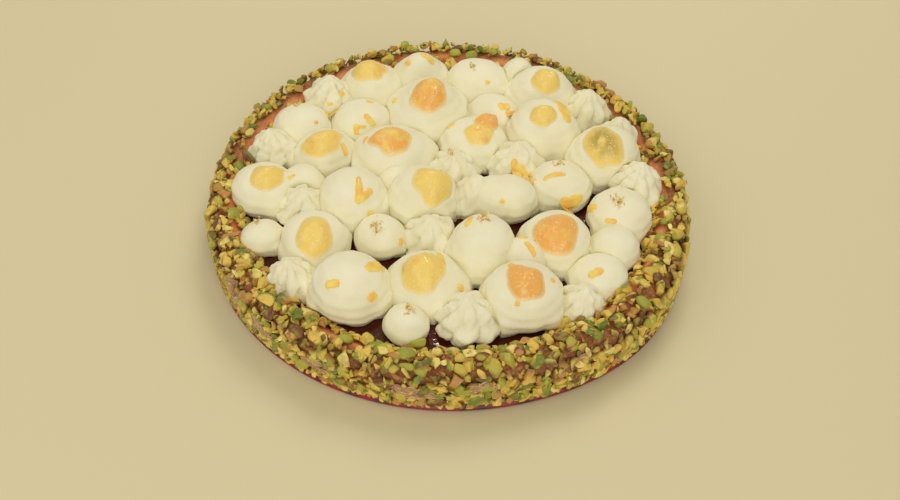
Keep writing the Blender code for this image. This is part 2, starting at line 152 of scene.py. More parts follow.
# Rosettes: name, x, y, radius, height, ridges, first ridge in degrees
ROSETTES = (
    ("rosette_01", -69, 71, 14, 23, 7, 10), ("rosette_02", 78, 63, 13, 22, 7, 35),
    ("rosette_03", 94, 41, 11, 20, 6, 0), ("rosette_04", -95, 27, 13, 20, 7, 20),
    ("rosette_05", 2, 12, 14, 19, 7, 5), ("rosette_06", 36, 19, 14, 21, 6, 40),
    ("rosette_07", -75, -16, 13, 19, 7, 15), ("rosette_08", 99, 2, 14, 22, 8, 25),
    ("rosette_09", -9, -35, 13, 18, 7, 30), ("rosette_10", 64, -78, 11, 17, 7, 12),
    ("rosette_11", -75, -65, 12, 18, 8, 0), ("rosette_12", 10, -88, 14, 20, 7, 50),
)
# Further masses of cream that belong to a dollop above: its name first, then as for a rosette
JOINED = (
    ("cream_18", 15, -8, 13, 20, 7, 20),
    ("cream_15", -77, -1, 12, 17, 0, 0),
    ("cream_12", -27, 2, 12, 16, 0, 0),
    ("cream_18", 25, -10, 14, 18, 0, 0),
)
# Dollops that run into their further mass without a crease
MERGED = ("cream_15", "cream_18")
CREAM_SEED = 5
# Shares of a piece's radius: how far its peak leans, how oval it is, how far a dollop draws in
# below and how wide it still is at its foot; and the share of its height where it is widest
LEAN = (0.03, 0.14)
OVAL = 0.04
TUCK = 0.15
TUCKED_FOOT = 0.72
WIDEST = 0.34
# A rosette's twist from foot to peak, and how far its ridges stand out
RIDGE_TWIST = math.radians(38)
RIDGE_OUT = 1.13
# How a dome draws in to its peak: the bend of its top, that of its side, and the depth of its waist
DOME = (2.0, 2.0, 0.0)
BELLS = {
    "cream_01": (1.45, 1.7, 0.06), "cream_02": (1.35, 1.5, 0.10), "cream_05": (1.6, 1.8, 0.03),
    "cream_06": (1.4, 1.55, 0.08), "cream_11": (1.5, 1.7, 0.04), "cream_12": (1.5, 1.6, 0.05),
    "cream_14": (1.7, 1.9, 0.0), "cream_17": (1.7, 1.9, 0.02), "cream_30": (1.6, 1.6, 0.10),
    "cream_10": (1.8, 1.9, 0.0), "cream_32": (1.6, 1.8, 0.0), "cream_21": (1.8, 1.9, 0.0),
}
# Height of the waist and its reach, as shares of the dome's height
WAIST = (0.68, 0.17)
# How much wider a piece is low down where others crowd it
SPREAD = 0.15
LOW_ROWS = 13
HIGH_ROWS = 30
FOOT_ROWS = (-0.015, 0.012)
CREAM_STEPS = 84
# How far a dollop rises in one turn of the nozzle
NOZZLE_STEP = 0.0046
# Where two pieces press: how round the edge of the contact is, how wavy, and how far they overlap
CONTACT_SOFTNESS = 0.0009
CONTACT_WAVE = 0.00045
CONTACT_OVERLAP = 0.0012
# Lumps in a dollop and in a rosette: their height and size
LUMPS = {False: (0.00022, 0.0100), True: (0.00050, 0.0050)}

# Jelly drops: name, the cream under it, x and y from that cream's centre, length, width,
# turn in degrees and height above the seat, in millimetres, and its share of orange, which is
# below zero for the murkiest one
JELLY = (
    ("jelly_01", "cream_01", -1, -2, 21, 18, 0, 6, 0.25),
    ("jelly_02", "cream_05", 2, -4, 18, 17.5, 40, 6, 0.2),
    ("jelly_03", "cream_06", 1, -5.6, 22.5, 21, 60, 7, 0.75),
    ("jelly_04", "cream_10", -1, -4, 15.5, 14, 0, 5, 0.1),
    ("jelly_05", "cream_11", -1, -5, 22, 18, 10, 6, 0.3),
    ("jelly_06", "cream_12", -1, -3, 21, 20.5, 0, 6, 0.6),
    ("jelly_07", "cream_13", 2.4, -4.4, 17, 16.5, 0, 4, 0.35),
    ("jelly_07", "cream_13", 6.8, 4.5, 15, 13, 20, 7, 1.0),
    ("jelly_08", "cream_14", -2.8, -7.2, 25, 22, 100, 7, -0.5),
    ("jelly_09", "cream_15", 3, -1.8, 17.5, 18, 0, 5, 0.15),
    ("jelly_10", "cream_17", 6, -4.4, 22, 21.5, 0, 7, 0.1),
    ("jelly_11", "cream_22", 1, -5.6, 23, 19, 90, 6, 0.2),
    ("jelly_12", "cream_25", -0.5, -4.6, 25, 23, 60, 7, 0.85),
    ("jelly_13", "cream_31", 0.4, -1.8, 20, 18.5, 95, 6, 0.9),
    ("jelly_14", "cream_30", -3, -2, 22, 23, 0, 6, 0.2),
)
# Outlines of the drops that aren't round: reach in eight directions, from the right anticlockwise
JELLY_FORMS = {
    "jelly_05": (1.00, 1.18, 0.86, 0.86, 1.05, 1.00, 0.95, 1.00),
    "jelly_06": (1.02, 1.00, 0.98, 0.98, 1.26, 0.90, 1.02, 1.00),
    "jelly_08": (1.00, 0.92, 1.10, 1.14, 0.98, 0.92, 1.04, 1.12),
    "jelly_09": (1.04, 1.10, 0.96, 1.04, 0.98, 1.02, 0.94, 1.02),
    "jelly_10": (1.00, 1.24, 0.94, 1.12, 1.04, 0.94, 1.16, 1.02),
    "jelly_12": (1.02, 1.10, 0.94, 1.06, 1.00, 0.94, 1.04, 1.08),
    "jelly_13": (1.00, 1.06, 0.90, 1.34, 1.00, 1.04, 0.98, 1.02),
}
# Unevenness of a drop's outline: waves round it and their height
JELLY_WAVES = ((2, 0.03), (3, 0.03))
JELLY_SUNK = 0.00018
JELLY_RINGS = 16
JELLY_STEPS = 56

# Candied peel: the cream under it, x and y from that cream's centre, length, width, turn, and
# how much wider (or, below zero, narrower) its far end is
PEEL = (
    ("cream_02", 4.3, -1.5, 9.5, 4.5, -19, 0.2), ("cream_02", -7, -4, 5, 3, -50, 0),
    ("cream_10", 11.5, 3.5, 17, 9, 104, 0.35),
    ("cream_07", 14, 5.5, 5, 3, -35, 0), ("cream_08", 5.4, -8.6, 8.3, 3.4, -44, 0.1),
    ("cream_08", -1.7, -13.5, 6, 2.8, 89, 0), ("cream_08", 1.2, -12.4, 5, 1.8, 3, 0),
    ("cream_09", 5.9, -2.8, 7, 4.6, 2, 0), ("cream_09", 9.5, -7.5, 7, 3.2, -40, -0.3),
    ("cream_11", 11.5, -5.5, 7, 3.2, -40, 0), ("cream_12", -15.5, 1, 4, 2.6, 0, 0),
    ("cream_13", -12.5, 5.5, 5, 2.2, 15, 0), ("cream_16", 4.2, -6.2, 15.5, 3.6, -83, 0.35),
    ("cream_16", 7.7, -8.4, 9.6, 3.2, 61, 0.2), ("rosette_06", 1, -12, 15, 8, -70, 0.6),
    ("cream_19", -4.7, -3.7, 12, 2.4, 11, 0.2), ("cream_19", 4.6, -14.2, 13, 7, 35, -0.2),
    ("cream_20", -15, 2.0, 11, 4.5, -32, 0), ("cream_20", -6.6, -11, 6, 2.4, -10, 0),
    ("cream_24", -7, 6, 8, 3, 75, -0.2), ("cream_26", -1.5, 6, 4.5, 4, 60, 0),
    ("cream_26", 1.9, -2.4, 9, 2.6, -58, 0), ("cream_28", -2.5, -4.5, 8, 3.6, 25, 0),
    ("cream_29", 12, 4.5, 13, 6, 40, 0.2), ("cream_29", -7, -8, 7, 4, 5, 0.1),
    ("cream_29", 11.5, -11.5, 5.5, 4, 30, 0), ("cream_30", 5.6, 7.5, 15, 3.2, -85, 0.2),
    ("cream_31", -6, 7, 9, 2.4, -75, -0.3),
)
# Small bits of peel: the cream under them, x and y from that cream's centre, size, and turn
PEEL_BITS = (
    ("cream_08", 4.6, 6, 4, 24), ("rosette_01", 8, -5, 3.5, 42), ("cream_07", 9, -6, 2.5, 40),
    ("cream_06", -18.5, 0.5, 3.5, 90), ("cream_15", 14, 1, 2.5, 60), ("cream_15", 10, 5, 2.5, 0),
    ("cream_23", -4.8, 9.5, 3.4, 29), ("cream_23", 10.8, -6, 3.6, -80), ("cream_03", 5, -11, 3, 15),
    ("cream_18", -4.5, -10, 2.4, 45), ("cream_30", 15, -6, 3.6, 100), ("rosette_01", 2, -12, 3, 10),
    ("cream_31", -4, -12, 2.6, 80), ("cream_31", 13, 2, 2.6, 20), ("cream_17", 9, 7, 2, 30),
)
PEEL_THICKNESS = 0.0007
PEEL_SUNK = 0.0004
PEEL_STEPS = (16, 7)
PEEL_SEED = 21
# Toppings and glaze are laid on from this far out
LAID_FROM = 0.012
# A topping hangs over an edge no further than this, and a bend of this diameter
DRAPE_SAG = 0.0012
DRAPE_BEND = 0.030

# Gold leaf: the cream under it, x and y from that cream's centre, and how far it is spread
LEAF = (
    ("cream_03", -3.3, -0.2, 0.9), ("cream_07", -2.2, 7.6, 1.0), ("rosette_05", -0.7, 0.2, 0.8),
    ("cream_19", -1.3, 5.6, 1.1), ("cream_21", -2, 3, 1.0), ("cream_23", -0.9, -2.2, 1.7),
    ("cream_24", 0.9, 6.5, 1.4), ("cream_20", -2, -0.7, 1.3), ("cream_32", 1.5, 2, 1.1),
)
LEAF_FLAKES = 22
LEAF_SIZE = (0.0006, 0.0014)
LEAF_CRUMPLE = 0.10
LEAF_THICKNESS = 0.00006
LEAF_STEPS = 4
LEAF_SEED = 8

# Finer nut pieces: name, longest and shortest length in millimetres, pitch, height above the coat
NUT_PASSES = (
    ("nuts_coarse", 8.6, 5.6, 6.3, 1.4),
    ("nuts_medium", 6.4, 4.2, 4.6, 1.8),
    ("nuts_fine", 4.2, 2.2, 3.95, 2.0),
)
# Their width and thickness against their length, and how much larger they are before the cuts
FINE_SLENDER = (0.55, 0.95)
FINE_FLAT = (0.50, 0.85)
FINE_SWELL = 1.30
# How far in the nuts reach, as radius in millimetres, every sixteenth of a turn from the right
NUT_EDGE = (115.0, 115.5, 112.0, 115.0, 117.5, 118.5, 117.5, 115.0,
            113.5, 111.5, 112.0, 115.0, 110.0, 111.0, 110.5, 112.5)
# How much higher the nuts are heaped at the back
HEAPED = 0.9
# The piece that fell on the jam: x, y, height, length, width and turn
LOOSE_NUT = (-13.0, -103.0, 21.5, 9.0, 5.0, 96)
# The nuts stay within this radius, apart from the bulge, and above this height
NUT_OUTERMOST = 0.1264
NUT_LOWEST = 0.0028
# The angle from which an edge between two faces of a nut stays sharp
NUT_CREASE = math.radians(38)

# Glaze that has set over the nuts: degrees round the tart, then height, length, width in
# millimetres and slant in degrees
GLAZE = (
    (-145, 17, 15, 9, -35), (-134, 13, 13, 8, -20), (-97, 11, 21, 9, 0), (-83, 15, 15, 7, 8),
    (-62, 17, 16, 6, 14), (-118, 12, 14, 7, 0), (-40, 14, 13, 7, 10), (-25, 12, 12, 7, 0),
    (28, 14, 14, 7, -8), (84, 13, 16, 7, 6), (130, 16, 13, 7, 0), (-160, 14, 12, 7, 10),
)
GLAZE_STEPS = (16, 48)
GLAZE_RIDGE = 0.0017
GLAZE_THICKNESS = 0.0005
# Unevenness of a patch's edge: waves round it, their height, and how they differ between patches
GLAZE_RAGGED = ((3, 0.22, 1), (7, 0.14, 2), (13, 0.08, 3))

CAMERA_PLACE = (-0.0027, -0.3712, 0.3772)
CAMERA_AIM = (0.0012, -0.0440, 0.0200)
CAMERA_ROLL = math.radians(1.264)
# Lamps: place, size, share of the key's power, whether they light matt surfaces, and whether
# they show on glossy ones
LAMPS = {
    "key": ((0.25, 0.75, 1.0), 0.6, 1.06, True, False),
    "side_fill": ((-0.9, -0.2, 0.9), 0.9, 0.6, True, True),
    "front_fill": ((0.15, -1.3, 0.75), 1.1, 1.55, True, True),
    "glint": ((0.1, 0.85, 1.2), 0.12, 0.4, False, True),
}


def srgb(red, green, blue):
    """Linear colour of an 8-bit one."""
    return tuple(((c / 255 + 0.055) / 1.055) ** 2.4 for c in (red, green, blue)) + (1.0,)


def hue(name, description, red, green, blue):
    """A colour that a user can change."""
    return bpy.props.FloatVectorProperty(name=name, description=description, subtype="COLOR", size=4,
                                         min=0, max=1, default=srgb(red, green, blue))


def length(name, description, default):
    """A length that a user can change."""
    return bpy.props.FloatProperty(name=name, description=description, default=default, min=0,
                                   subtype="DISTANCE", unit="LENGTH")


def share(name, description, default):
    """A share between nothing and all of it that a user can change."""
    return bpy.props.FloatProperty(name=name, description=description, default=default, min=0, max=1,
                                   subtype="FACTOR")


class CrustSettings(bpy.types.PropertyGroup):
    """Colours of the baked shell."""

    baked: hue("Baked", "Colour of the inner slope", 242, 166, 104)
    dark: hue("Dark", "Colour of its darker patches", 216, 124, 76)
    soaked: hue("Soaked", "Colour where jam has soaked in", 150, 40, 34)
    strip: hue("Strip", "Colour of the bare foot, stained by jam", 150, 22, 34)
    strip_dark: hue("Dark strip", "Colour of the foot's darker stretches", 88, 12, 18)
    coat: hue("Coat", "Colour of the sticky coat under the nuts", 156, 104, 58)


class NutSettings(bpy.types.PropertyGroup):
    """Colours of the chopped pistachios."""

    pale: hue("Pale flesh", "Palest cut face", 255, 236, 146)
    flesh: hue("Flesh", "Usual cut face", 238, 202, 92)
    green: hue("Green", "Greenest cut face", 172, 176, 62)
    dark_green: hue("Dark green", "Outside of a skinned kernel", 104, 128, 40)
    skin: hue("Skin", "Red-brown skin", 112, 58, 36)
    toasted: hue("Toasted", "Browned pieces", 200, 142, 76)
    # Painted shade mixed with sticky brown: it darkens the nuts where they sit down in the coat, between and
    # under the pieces
    stain_and_painted_shade: hue("Stain_and_shade", "Sticky brown where the pieces sit in the coat", 110, 60, 28)


class JamSettings(bpy.types.PropertyGroup):
    """Colours of the jam."""

    deep: hue("Deep", "Colour where the jam is deep", 56, 20, 10)
    thin: hue("Thin", "Colour where the jam is thin", 106, 38, 26)
    swell: length("Swell", "Height of the lumps in its surface", 0.00022)


class CreamSettings(bpy.types.PropertyGroup):
    """Colours and relief of the piped cream."""

    light: hue("Light", "Usual colour", 248, 244, 216)
    warm: hue("Warm", "Faintly darker patches", 245, 238, 205)
    ring_depth: share("Ring depth", "Depth of the rings left by the nozzle, against the radius", 0.012)
    groove: share("Groove", "Depth of a rosette's grooves, against the radius", 0.22)


class JellySettings(bpy.types.PropertyGroup):
    """Colours of the jelly drops."""

    yellow: hue("Yellow", "Usual colour", 255, 221, 116)
    orange: hue("Orange", "Colour of the orange drops", 255, 188, 94)
    murky: hue("Murky", "Colour in the middle of the murkiest drop", 196, 170, 74)
    # The edge colour is also painted on the bubbles as glints
    edge: hue("Edge", "Colour where a drop is thin", 255, 240, 196)


class PeelSettings(bpy.types.PropertyGroup):
    """Colours of the candied peel."""

    bright: hue("Bright", "Usual colour", 255, 226, 112)
    deep: hue("Deep", "Deeper orange", 255, 202, 98)


class LeafSettings(bpy.types.PropertyGroup):
    """Colours of the gold leaf."""

    gold: hue("Gold", "Colour of the leaf", 255, 240, 178)
    brown: hue("Brown", "Colour of its darker specks", 232, 164, 90)


class GlazeSettings(bpy.types.PropertyGroup):
    """Colours of the sticky glaze over the nuts."""

    sticky: hue("Sticky", "Usual colour", 196, 142, 96)
    pale: hue("Pale", "Colour of its streaks", 232, 204, 172)


class StageSettings(bpy.types.PropertyGroup):
    """Floor, light and camera."""

    floor: hue("Floor", "Colour of the plain floor", 226, 214, 176)
    sky: hue("Sky", "Colour of the soft light all round", 255, 250, 236)
    sky_strength: bpy.props.FloatProperty(name="Sky strength", description="Soft light all round",
                                          default=0.38, min=0)
    key_power: bpy.props.FloatProperty(name="Key power", description="Power of the large lamp",
                                       default=5.0, min=0, unit="POWER")
    focal_length: bpy.props.FloatProperty(name="Focal length", description="The camera's focal length",
                                          default=38.91, min=1, unit="CAMERA")


class Number:
    """A shader socket that Python's operators work on."""

    def __init__(self, recipe, socket):
        self.recipe = recipe
        self.socket = socket

    def __add__(self, other):
        return self.recipe.maths("ADD", self, other)

    __radd__ = __add__

    def __sub__(self, other):
        return self.recipe.maths("SUBTRACT", self, other)

    def __rsub__(self, other):
        return self.recipe.maths("SUBTRACT", other, self)

    def __mul__(self, other):
        return self.recipe.maths("MULTIPLY", self, other)

    __rmul__ = __mul__


class Recipe:
    """A material in the making, whose nodes all come from one method."""

    def __init__(self, name, **constants):
        self.material = bpy.data.materials.new(name)
        self.material.use_nodes = True
        self.tree = self.material.node_tree
        self.shader = self.tree.nodes["Principled BSDF"]
        self.where = self.node("TexCoord", output="Object")
        for socket, value in constants.items():
            self.shader.inputs[socket.replace("_", " ")].default_value = value

    def node(self, kind, settings=None, sockets=None, output=0):
        """Add a node: first its settings, then the values or links of its sockets."""
        made = self.tree.nodes.new("ShaderNode" + kind)
        for key, value in (settings or {}).items():
            if key == "stops":
                self.fill_ramp(made.color_ramp, value)
            else:
                setattr(made, key, value)
        for key, value in (sockets or {}).items():
            self.feed(made.inputs[key], value)
        return Number(self, made.outputs[output])

    def fill_ramp(self, ramp, stops):
        while len(ramp.elements) < len(stops):
            ramp.elements.new(1.0)
        for element, (place, value) in zip(ramp.elements, stops):
            element.position = place
            element.color = value

    def feed(self, socket, value):
        if isinstance(value, Number):
            self.tree.links.new(value.socket, socket)
        else:
            socket.default_value = value

    def maths(self, operation, first, second):
        return self.node("Math", {"operation": operation}, {0: first, 1: second})

    def mix(self, amount, first, second):
        """Colour between two colours."""
        return self.node("Mix", {"data_type": "RGBA"}, {0: amount, 6: first, 7: second}, output=2)

    def noise(self, size, detail=2.0, roughness=0.5):
        """Soft cloudy pattern with spots of about that size."""
        return self.node("TexNoise", {}, {"Vector": self.where, "Scale": 1 / size, "Detail": detail,
                                          "Roughness": roughness})

    def cells(self, size):
        """Distance to the nearest of many scattered points."""
        return self.node("TexVoronoi", {"feature": "F1"}, {"Vector": self.where, "Scale": 1 / size})

    def ramp(self, value, low, high):
        """Zero up to one level of a value, one from another on, and a straight rise between."""
        return self.node("MapRange", {"clamp": True}, {0: value, 1: low, 2: high, 3: 0.0, 4: 1.0})

    def spots(self, size, low, high, detail=2.0, roughness=0.5):
        """Spots of about that size, from nothing to one."""
        return self.ramp(self.noise(size, detail, roughness), low, high)

    def stored(self, name):
        """A number kept on the mesh."""
        return self.node("Attribute", {"attribute_name": name}, output="Fac")

    def surface(self, **values):
        """Link values to the shader's sockets."""
        for socket, value in values.items():
            self.feed(self.shader.inputs[socket.replace("_", " ")], value)

    def relief(self, height, depth, strength=1.0):
        """Small relief of that depth in metres."""
        bump = self.node("Bump", {}, {"Height": height, "Distance": depth, "Strength": strength},
                         output="Normal")
        self.surface(Normal=bump)
        return self.material


def circle(steps):
    """Angles that divide a turn evenly."""
    return np.arange(steps) * math.tau / steps


def polar(radius, angle, height):
    """Points at a radius, angle and height."""
    return np.stack(np.broadcast_arrays(radius * np.cos(angle), radius * np.sin(angle), height), -1)


def round_axis(points):
    """Radius and angle of points."""
    return np.hypot(points[..., 0], points[..., 1]), np.arctan2(points[..., 1], points[..., 0])


def unit(vectors):
    """The same directions, each of length one."""
    return vectors / np.linalg.norm(vectors, axis=-1, keepdims=True)


def fade(values, low, high):
    """Nothing at one value, all at another, and a straight change between."""
    return np.clip((values - low) / (high - low), 0, 1)


def ripple(points, size, seed):
    """Smooth unevenness of about one either way at the places given, with waves of that size."""
    draw = np.random.default_rng(seed)
    waves = 12
    total = np.zeros(points.shape[:-1])
    for _ in range(waves):
        heading = draw.normal(size=3)
        heading *= math.tau / size / np.linalg.norm(heading) * draw.uniform(0.7, 1.4)
        total += np.sin(points @ heading + draw.uniform(0, math.tau))
    return total / math.sqrt(waves)


def soft_min(first, second, softness):
    """The lesser of two lengths, rounded where they are nearly equal."""
    nearness = np.clip(softness - np.abs(first - second), 0, None) / softness
    return np.minimum(first, second) - nearness ** 2 * softness / 4


def around(stops, angles):
    """Values that pass smoothly through the given ones, which stand evenly round a circle."""
    stops = np.array([*stops, stops[0]])
    turn = np.mod(angles, math.tau) / (math.tau / (len(stops) - 1))
    low = np.floor(turn).astype(int) % (len(stops) - 1)
    part = turn - np.floor(turn)
    part = part * part * (3 - 2 * part)
    return stops[low] * (1 - part) + stops[low + 1] * part


def ring_faces(rows, columns):
    """Quads between closed rings that are counted from the lowest up."""
    row, column = np.mgrid[:rows - 1, :columns]
    after = (column + 1) % columns
    quads = np.stack([row * columns + column, row * columns + after,
                      (row + 1) * columns + after, (row + 1) * columns + column], -1)
    return quads.reshape(-1, 4).tolist()


def closed_stack(rings, tip=None, foot=None):
    """Points and faces of one closed body from its rings, with a point under and one over them."""
    rows, columns = rings.shape[:2]
    foot = rings[0].mean(0) if foot is None else foot
    tip = rings[-1].mean(0) if tip is None else tip
    points = np.vstack([rings.reshape(-1, 3), foot, tip])
    faces = ring_faces(rows, columns)
    low, high, last = rows * columns, rows * columns + 1, (rows - 1) * columns
    for i in range(columns):
        after = (i + 1) % columns
        faces.append([low, after, i])
        faces.append([high, last + i, last + after])
    return points, faces


def joined(bodies):
    """Several bodies, each given as points and faces, as one."""
    starts = np.cumsum([0] + [len(points) for points, _ in bodies]).tolist()
    faces = [[start + i for i in face] for start, (_, part) in zip(starts, bodies) for face in part]
    return np.vstack([points for points, _ in bodies]), faces


def make_piece(name, points, faces, material, slot, nodes=(), marks=None, sharp=None):
    """Make one piece of the object: its mesh, finish, body, slot and the solids it stands for."""
    mesh = bpy.data.meshes.new(name)
    mesh.from_pydata(np.asarray(points).tolist(), [], faces)
    for mark, values in (marks or {}).items():
        domain = "POINT" if len(values) == len(mesh.vertices) else "FACE"
        layer = mesh.attributes.new(mark, "FLOAT", domain)
        layer.data.foreach_set("value", np.asarray(values, np.float32))
    mesh.materials.append(material)
    mesh.shade_smooth()
    if sharp is not None:
        mesh.set_sharp_from_angle(angle=sharp)
    piece = bpy.data.objects.new(name, mesh)
    bpy.context.scene.collection.objects.link(piece)
    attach(piece, "root")
    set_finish(piece, slot)
    if nodes:
        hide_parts(*nodes)
    return piece


def wave(angle):
    """Unevenness of the shell round its axis."""
    return sum(height * np.sin(count * angle + phase) for count, height, phase in WAVES)


def bulge(angle, radius):
    """How much further the side stands out at an angle; the rim and all inside it keep their place."""
    apart = np.remainder(angle - BULGE_AT + math.pi, math.tau) - math.pi
    return BULGE * fade(radius, RIM_OUTER, SHELL_RADIUS) * np.exp(-(apart / BULGE_SPAN) ** 2)


def shell_profile():
    """The shell's section from its foot to the floor inside: radius, height, share of the waves."""
    coat_radius = SHELL_RADIUS + COAT
    return (
        (FOOT_RADIUS - FOOT_ROUND, 0.0, 0.0),
        (FOOT_RADIUS, FOOT_ROUND, 0.0),
        (FOOT_RADIUS, FOOT_HEIGHT, 0.5),
        (coat_radius, FOOT_HEIGHT + FOOT_RUN, 1.0),
        (coat_radius, COAT_TOP, 1.0),
        (SHELL_RADIUS, SHOULDER, 1.0),
        (RIM_OUTER, RIM_HEIGHT, 1.0),
        (RIM_INNER, RIM_HEIGHT, 1.0),
        (*SLOPE_TOP, 0.5),
        (WELL_RADIUS, SLOPE_FOOT, 0.0),
        (WELL_RADIUS, FLOOR_THICKNESS, 0.0),
    )


def distances(line):
    """How far each point of a line is from its first, along it."""
    return np.concatenate([[0], np.cumsum(np.linalg.norm(np.diff(line[:, :2], axis=0), axis=1))])


def walk(corners, pitch):
    """Points about a pitch apart along a line with the corners given."""
    corners = np.array(corners)
    along = distances(corners)
    places = np.linspace(0, along[-1], int(along[-1] / pitch) + 1)
    return np.stack([np.interp(places, along, column) for column in corners.T], 1)


def shell_line():
    """The section in short steps, with its corners rounded."""
    line = walk(shell_profile(), SHELL_PITCH)
    for _ in range(3):
        line[1:-1, :2] = (line[:-2, :2] + 2 * line[1:-1, :2] + line[2:, :2]) / 4
    return line


def spin_line(line, steps):
    """The section spun round the axis, with the shell's waves on it."""
    angles = circle(steps)
    radius, height, part = (line[:, k][:, None] for k in range(3))
    lift = wave(angles) * part + bulge(angles, radius)
    rise = wave(angles + RISE_PHASE) * part * (height > WAVY_ABOVE)
    return polar(radius + lift, angles, height + rise)


def crust_finish(settings):
    """Baked shell: terracotta slope with darker patches, crimson foot and a sticky coat outside."""
    recipe = Recipe("crust_finish", Roughness=0.62, Coat_Roughness=0.3)
    cloud = recipe.noise(0.009, 4.0, 0.6)
    grain = recipe.noise(0.0014, 3.0, 0.65)
    foot = recipe.stored("foot")
    baked = recipe.mix(recipe.ramp(cloud, 0.38, 0.62), settings.baked, settings.dark)
    baked = recipe.mix(recipe.stored("soaked"), baked, settings.soaked)
    coat = recipe.mix(recipe.spots(0.004, 0.48, 0.68) * 0.6, settings.coat, settings.soaked)
    coat = recipe.mix(recipe.ramp(grain, 0.50, 0.66) * 0.6, coat, settings.baked)
    stained = recipe.mix(recipe.spots(0.010, 0.42, 0.60), settings.strip, settings.strip_dark)
    colour = recipe.mix(recipe.stored("outside"), baked, recipe.mix(foot, coat, stained))
    recipe.surface(Base_Color=colour, Roughness=0.7 - 0.3 * foot, Coat_Weight=foot * 0.3)
    return recipe.relief(grain + cloud * 0.6, 0.0005)


def make_crust(settings):
    """The baked shell, from its foot over the rim and down to the floor inside."""
    line = shell_line()
    rings = spin_line(line, SHELL_STEPS)
    slope = (line[:, 0] < RIM_INNER) & (line[:, 1] > SLOPE_FOOT)
    rough = sum(ripple(rings, size, seed) * depth for size, seed, depth in CRAGS)
    rings += unit(rings * (1, 1, 0)) * (rough * slope[:, None])[..., None]
    points, faces = closed_stack(rings)
    height = points[:, 2]
    outside = fade(round_axis(points)[0], RIM_INNER - 0.0015, RIM_INNER + 0.0015)
    strip = FOOT_HEIGHT + FOOT_RUN
    foot = fade(height, strip + 0.0012, strip + 0.0002) * outside
    soaked = np.clip(1 - (height - JAM_LEVEL) / 0.0016 + ripple(points, 0.008, 33) * 0.5, 0, 1)
    make_piece("shell", points, faces, crust_finish(settings), "crust", ["crust"],
               {"outside": outside, "foot": foot, "soaked": soaked})


def jam_finish(settings):
    """Wet dark jam, redder where it is thin."""
    recipe = Recipe("jam_finish", Roughness=0.12, Specular_IOR_Level=0.35, Coat_Weight=0.15,
                    Coat_Roughness=0.04)
    colour = recipe.mix(recipe.spots(0.014, 0.35, 0.7, 3.0, 0.6), settings.deep, settings.thin)
    recipe.surface(Base_Color=recipe.mix(recipe.stored("shore") * 0.8, colour, settings.thin))
    return recipe.relief(recipe.noise(0.0030), 0.0003)


def make_jam(settings):
    """The jam: a lumpy glossy top that climbs a little up the slope, over a plain body."""
    shore = WELL_RADIUS + (JAM_LEVEL - SLOPE_FOOT) / SLOPE
    radii = np.concatenate([np.linspace(shore, shore - JAM_BAND, JAM_RINGS[0]),
                            np.linspace(shore - JAM_BAND - 0.002, 0.002, JAM_RINGS[1])])
    angles = circle(JAM_STEPS)
    top = polar(radii[:, None], angles, 0.0)
    inside = shore - radii[:, None]
    swell = sum(ripple(top, size, seed) * part for size, seed, part in JAM_WAVES) * settings.swell
    top[..., 2] = JAM_LEVEL + JAM_LIP[0] * np.exp(-inside / JAM_LIP[1]) + swell * fade(inside, 0, 0.002)
    wall = [polar(WELL_RADIUS - GAP, angles, height)
            for height in (FLOOR_THICKNESS + GAP, SLOPE_FOOT - GAP)]
    points, faces = closed_stack(np.concatenate([wall, top]))
    make_piece("jam_filling", points, faces, jam_finish(settings), "jam", ["jam"],
               {"shore": fade(round_axis(points)[0], shore - 0.003, shore)})


def cream_plans():
    """Every piped piece as a plan: node, centre, radius, height, ridges (0 if smooth), lean."""
    draw = random.Random(CREAM_SEED)
    rows = [(*row, 0, 0) for row in SMOOTH] + list(ROSETTES) + list(JOINED)
    return [SimpleNamespace(node=node, number=number, x=x * MM, y=y * MM, radius=radius * MM,
                            height=height * MM, ridges=ridges, first=math.radians(first),
                            lean=radius * MM * draw.uniform(*LEAN), heading=draw.uniform(0, math.tau),
                            oval=draw.uniform(-OVAL, OVAL))
            for number, (node, x, y, radius, height, ridges, first) in enumerate(rows)]


def between(plan, other):
    """The way from one piped piece's centre to another's, and how far it is."""
    away = np.array([other.x - plan.x, other.y - plan.y])
    distance = np.linalg.norm(away)
    return away / distance, distance


def dome_rows(top_bend, side_bend, waist):
    """Rows up a dollop: share of its height, share of its radius, and how far they tuck in below."""
    low = np.linspace(0, 1, LOW_ROWS, endpoint=False)
    turn = np.linspace(0, math.pi / 2, HIGH_ROWS + 1)[:-1]
    up = np.concatenate([FOOT_ROWS, WIDEST * low[1:],
                         WIDEST + (1 - WIDEST) * np.sin(turn) ** (2 / top_bend)])
    wide = np.concatenate([np.ones(LOW_ROWS + 1), np.cos(turn) ** (2 / side_bend)])
    wide *= 1 - waist * np.exp(-((up - WAIST[0]) / WAIST[1]) ** 2)
    tuck = np.concatenate([[1 - TUCKED_FOOT, 0.20], TUCK * (1 - low[1:]) ** 2, np.zeros(HIGH_ROWS)])
    return up, wide, tuck


def rosette_rows():
    """Rows up a rosette: share of its height, share of its radius, and how far they tuck in below."""
    up = np.concatenate([FOOT_ROWS, np.linspace(0.03, 0.985, LOW_ROWS + HIGH_ROWS)])
    wide = (1 - fade(up, 0.20, 1) ** 1.5) ** 0.95
    tuck = 0.12 * fade(up, 0.20, 0) ** 2
    tuck[0] = 1 - TUCKED_FOOT
    return up, wide, tuck


def crowding(plan, plans, angles):
    """How closely neighbours stand round a piece at each angle, from nothing to one."""
    crowd = np.zeros(len(angles))
    for other in plans:
        if other is not plan:
            away, distance = between(plan, other)
            touching = plan.radius + other.radius
            facing = np.cos(angles) * away[0] + np.sin(angles) * away[1]
            near = fade(distance, touching + 0.004, touching) * fade(facing, 0.52, 0.82)
            crowd = np.maximum(crowd, near)
    return crowd


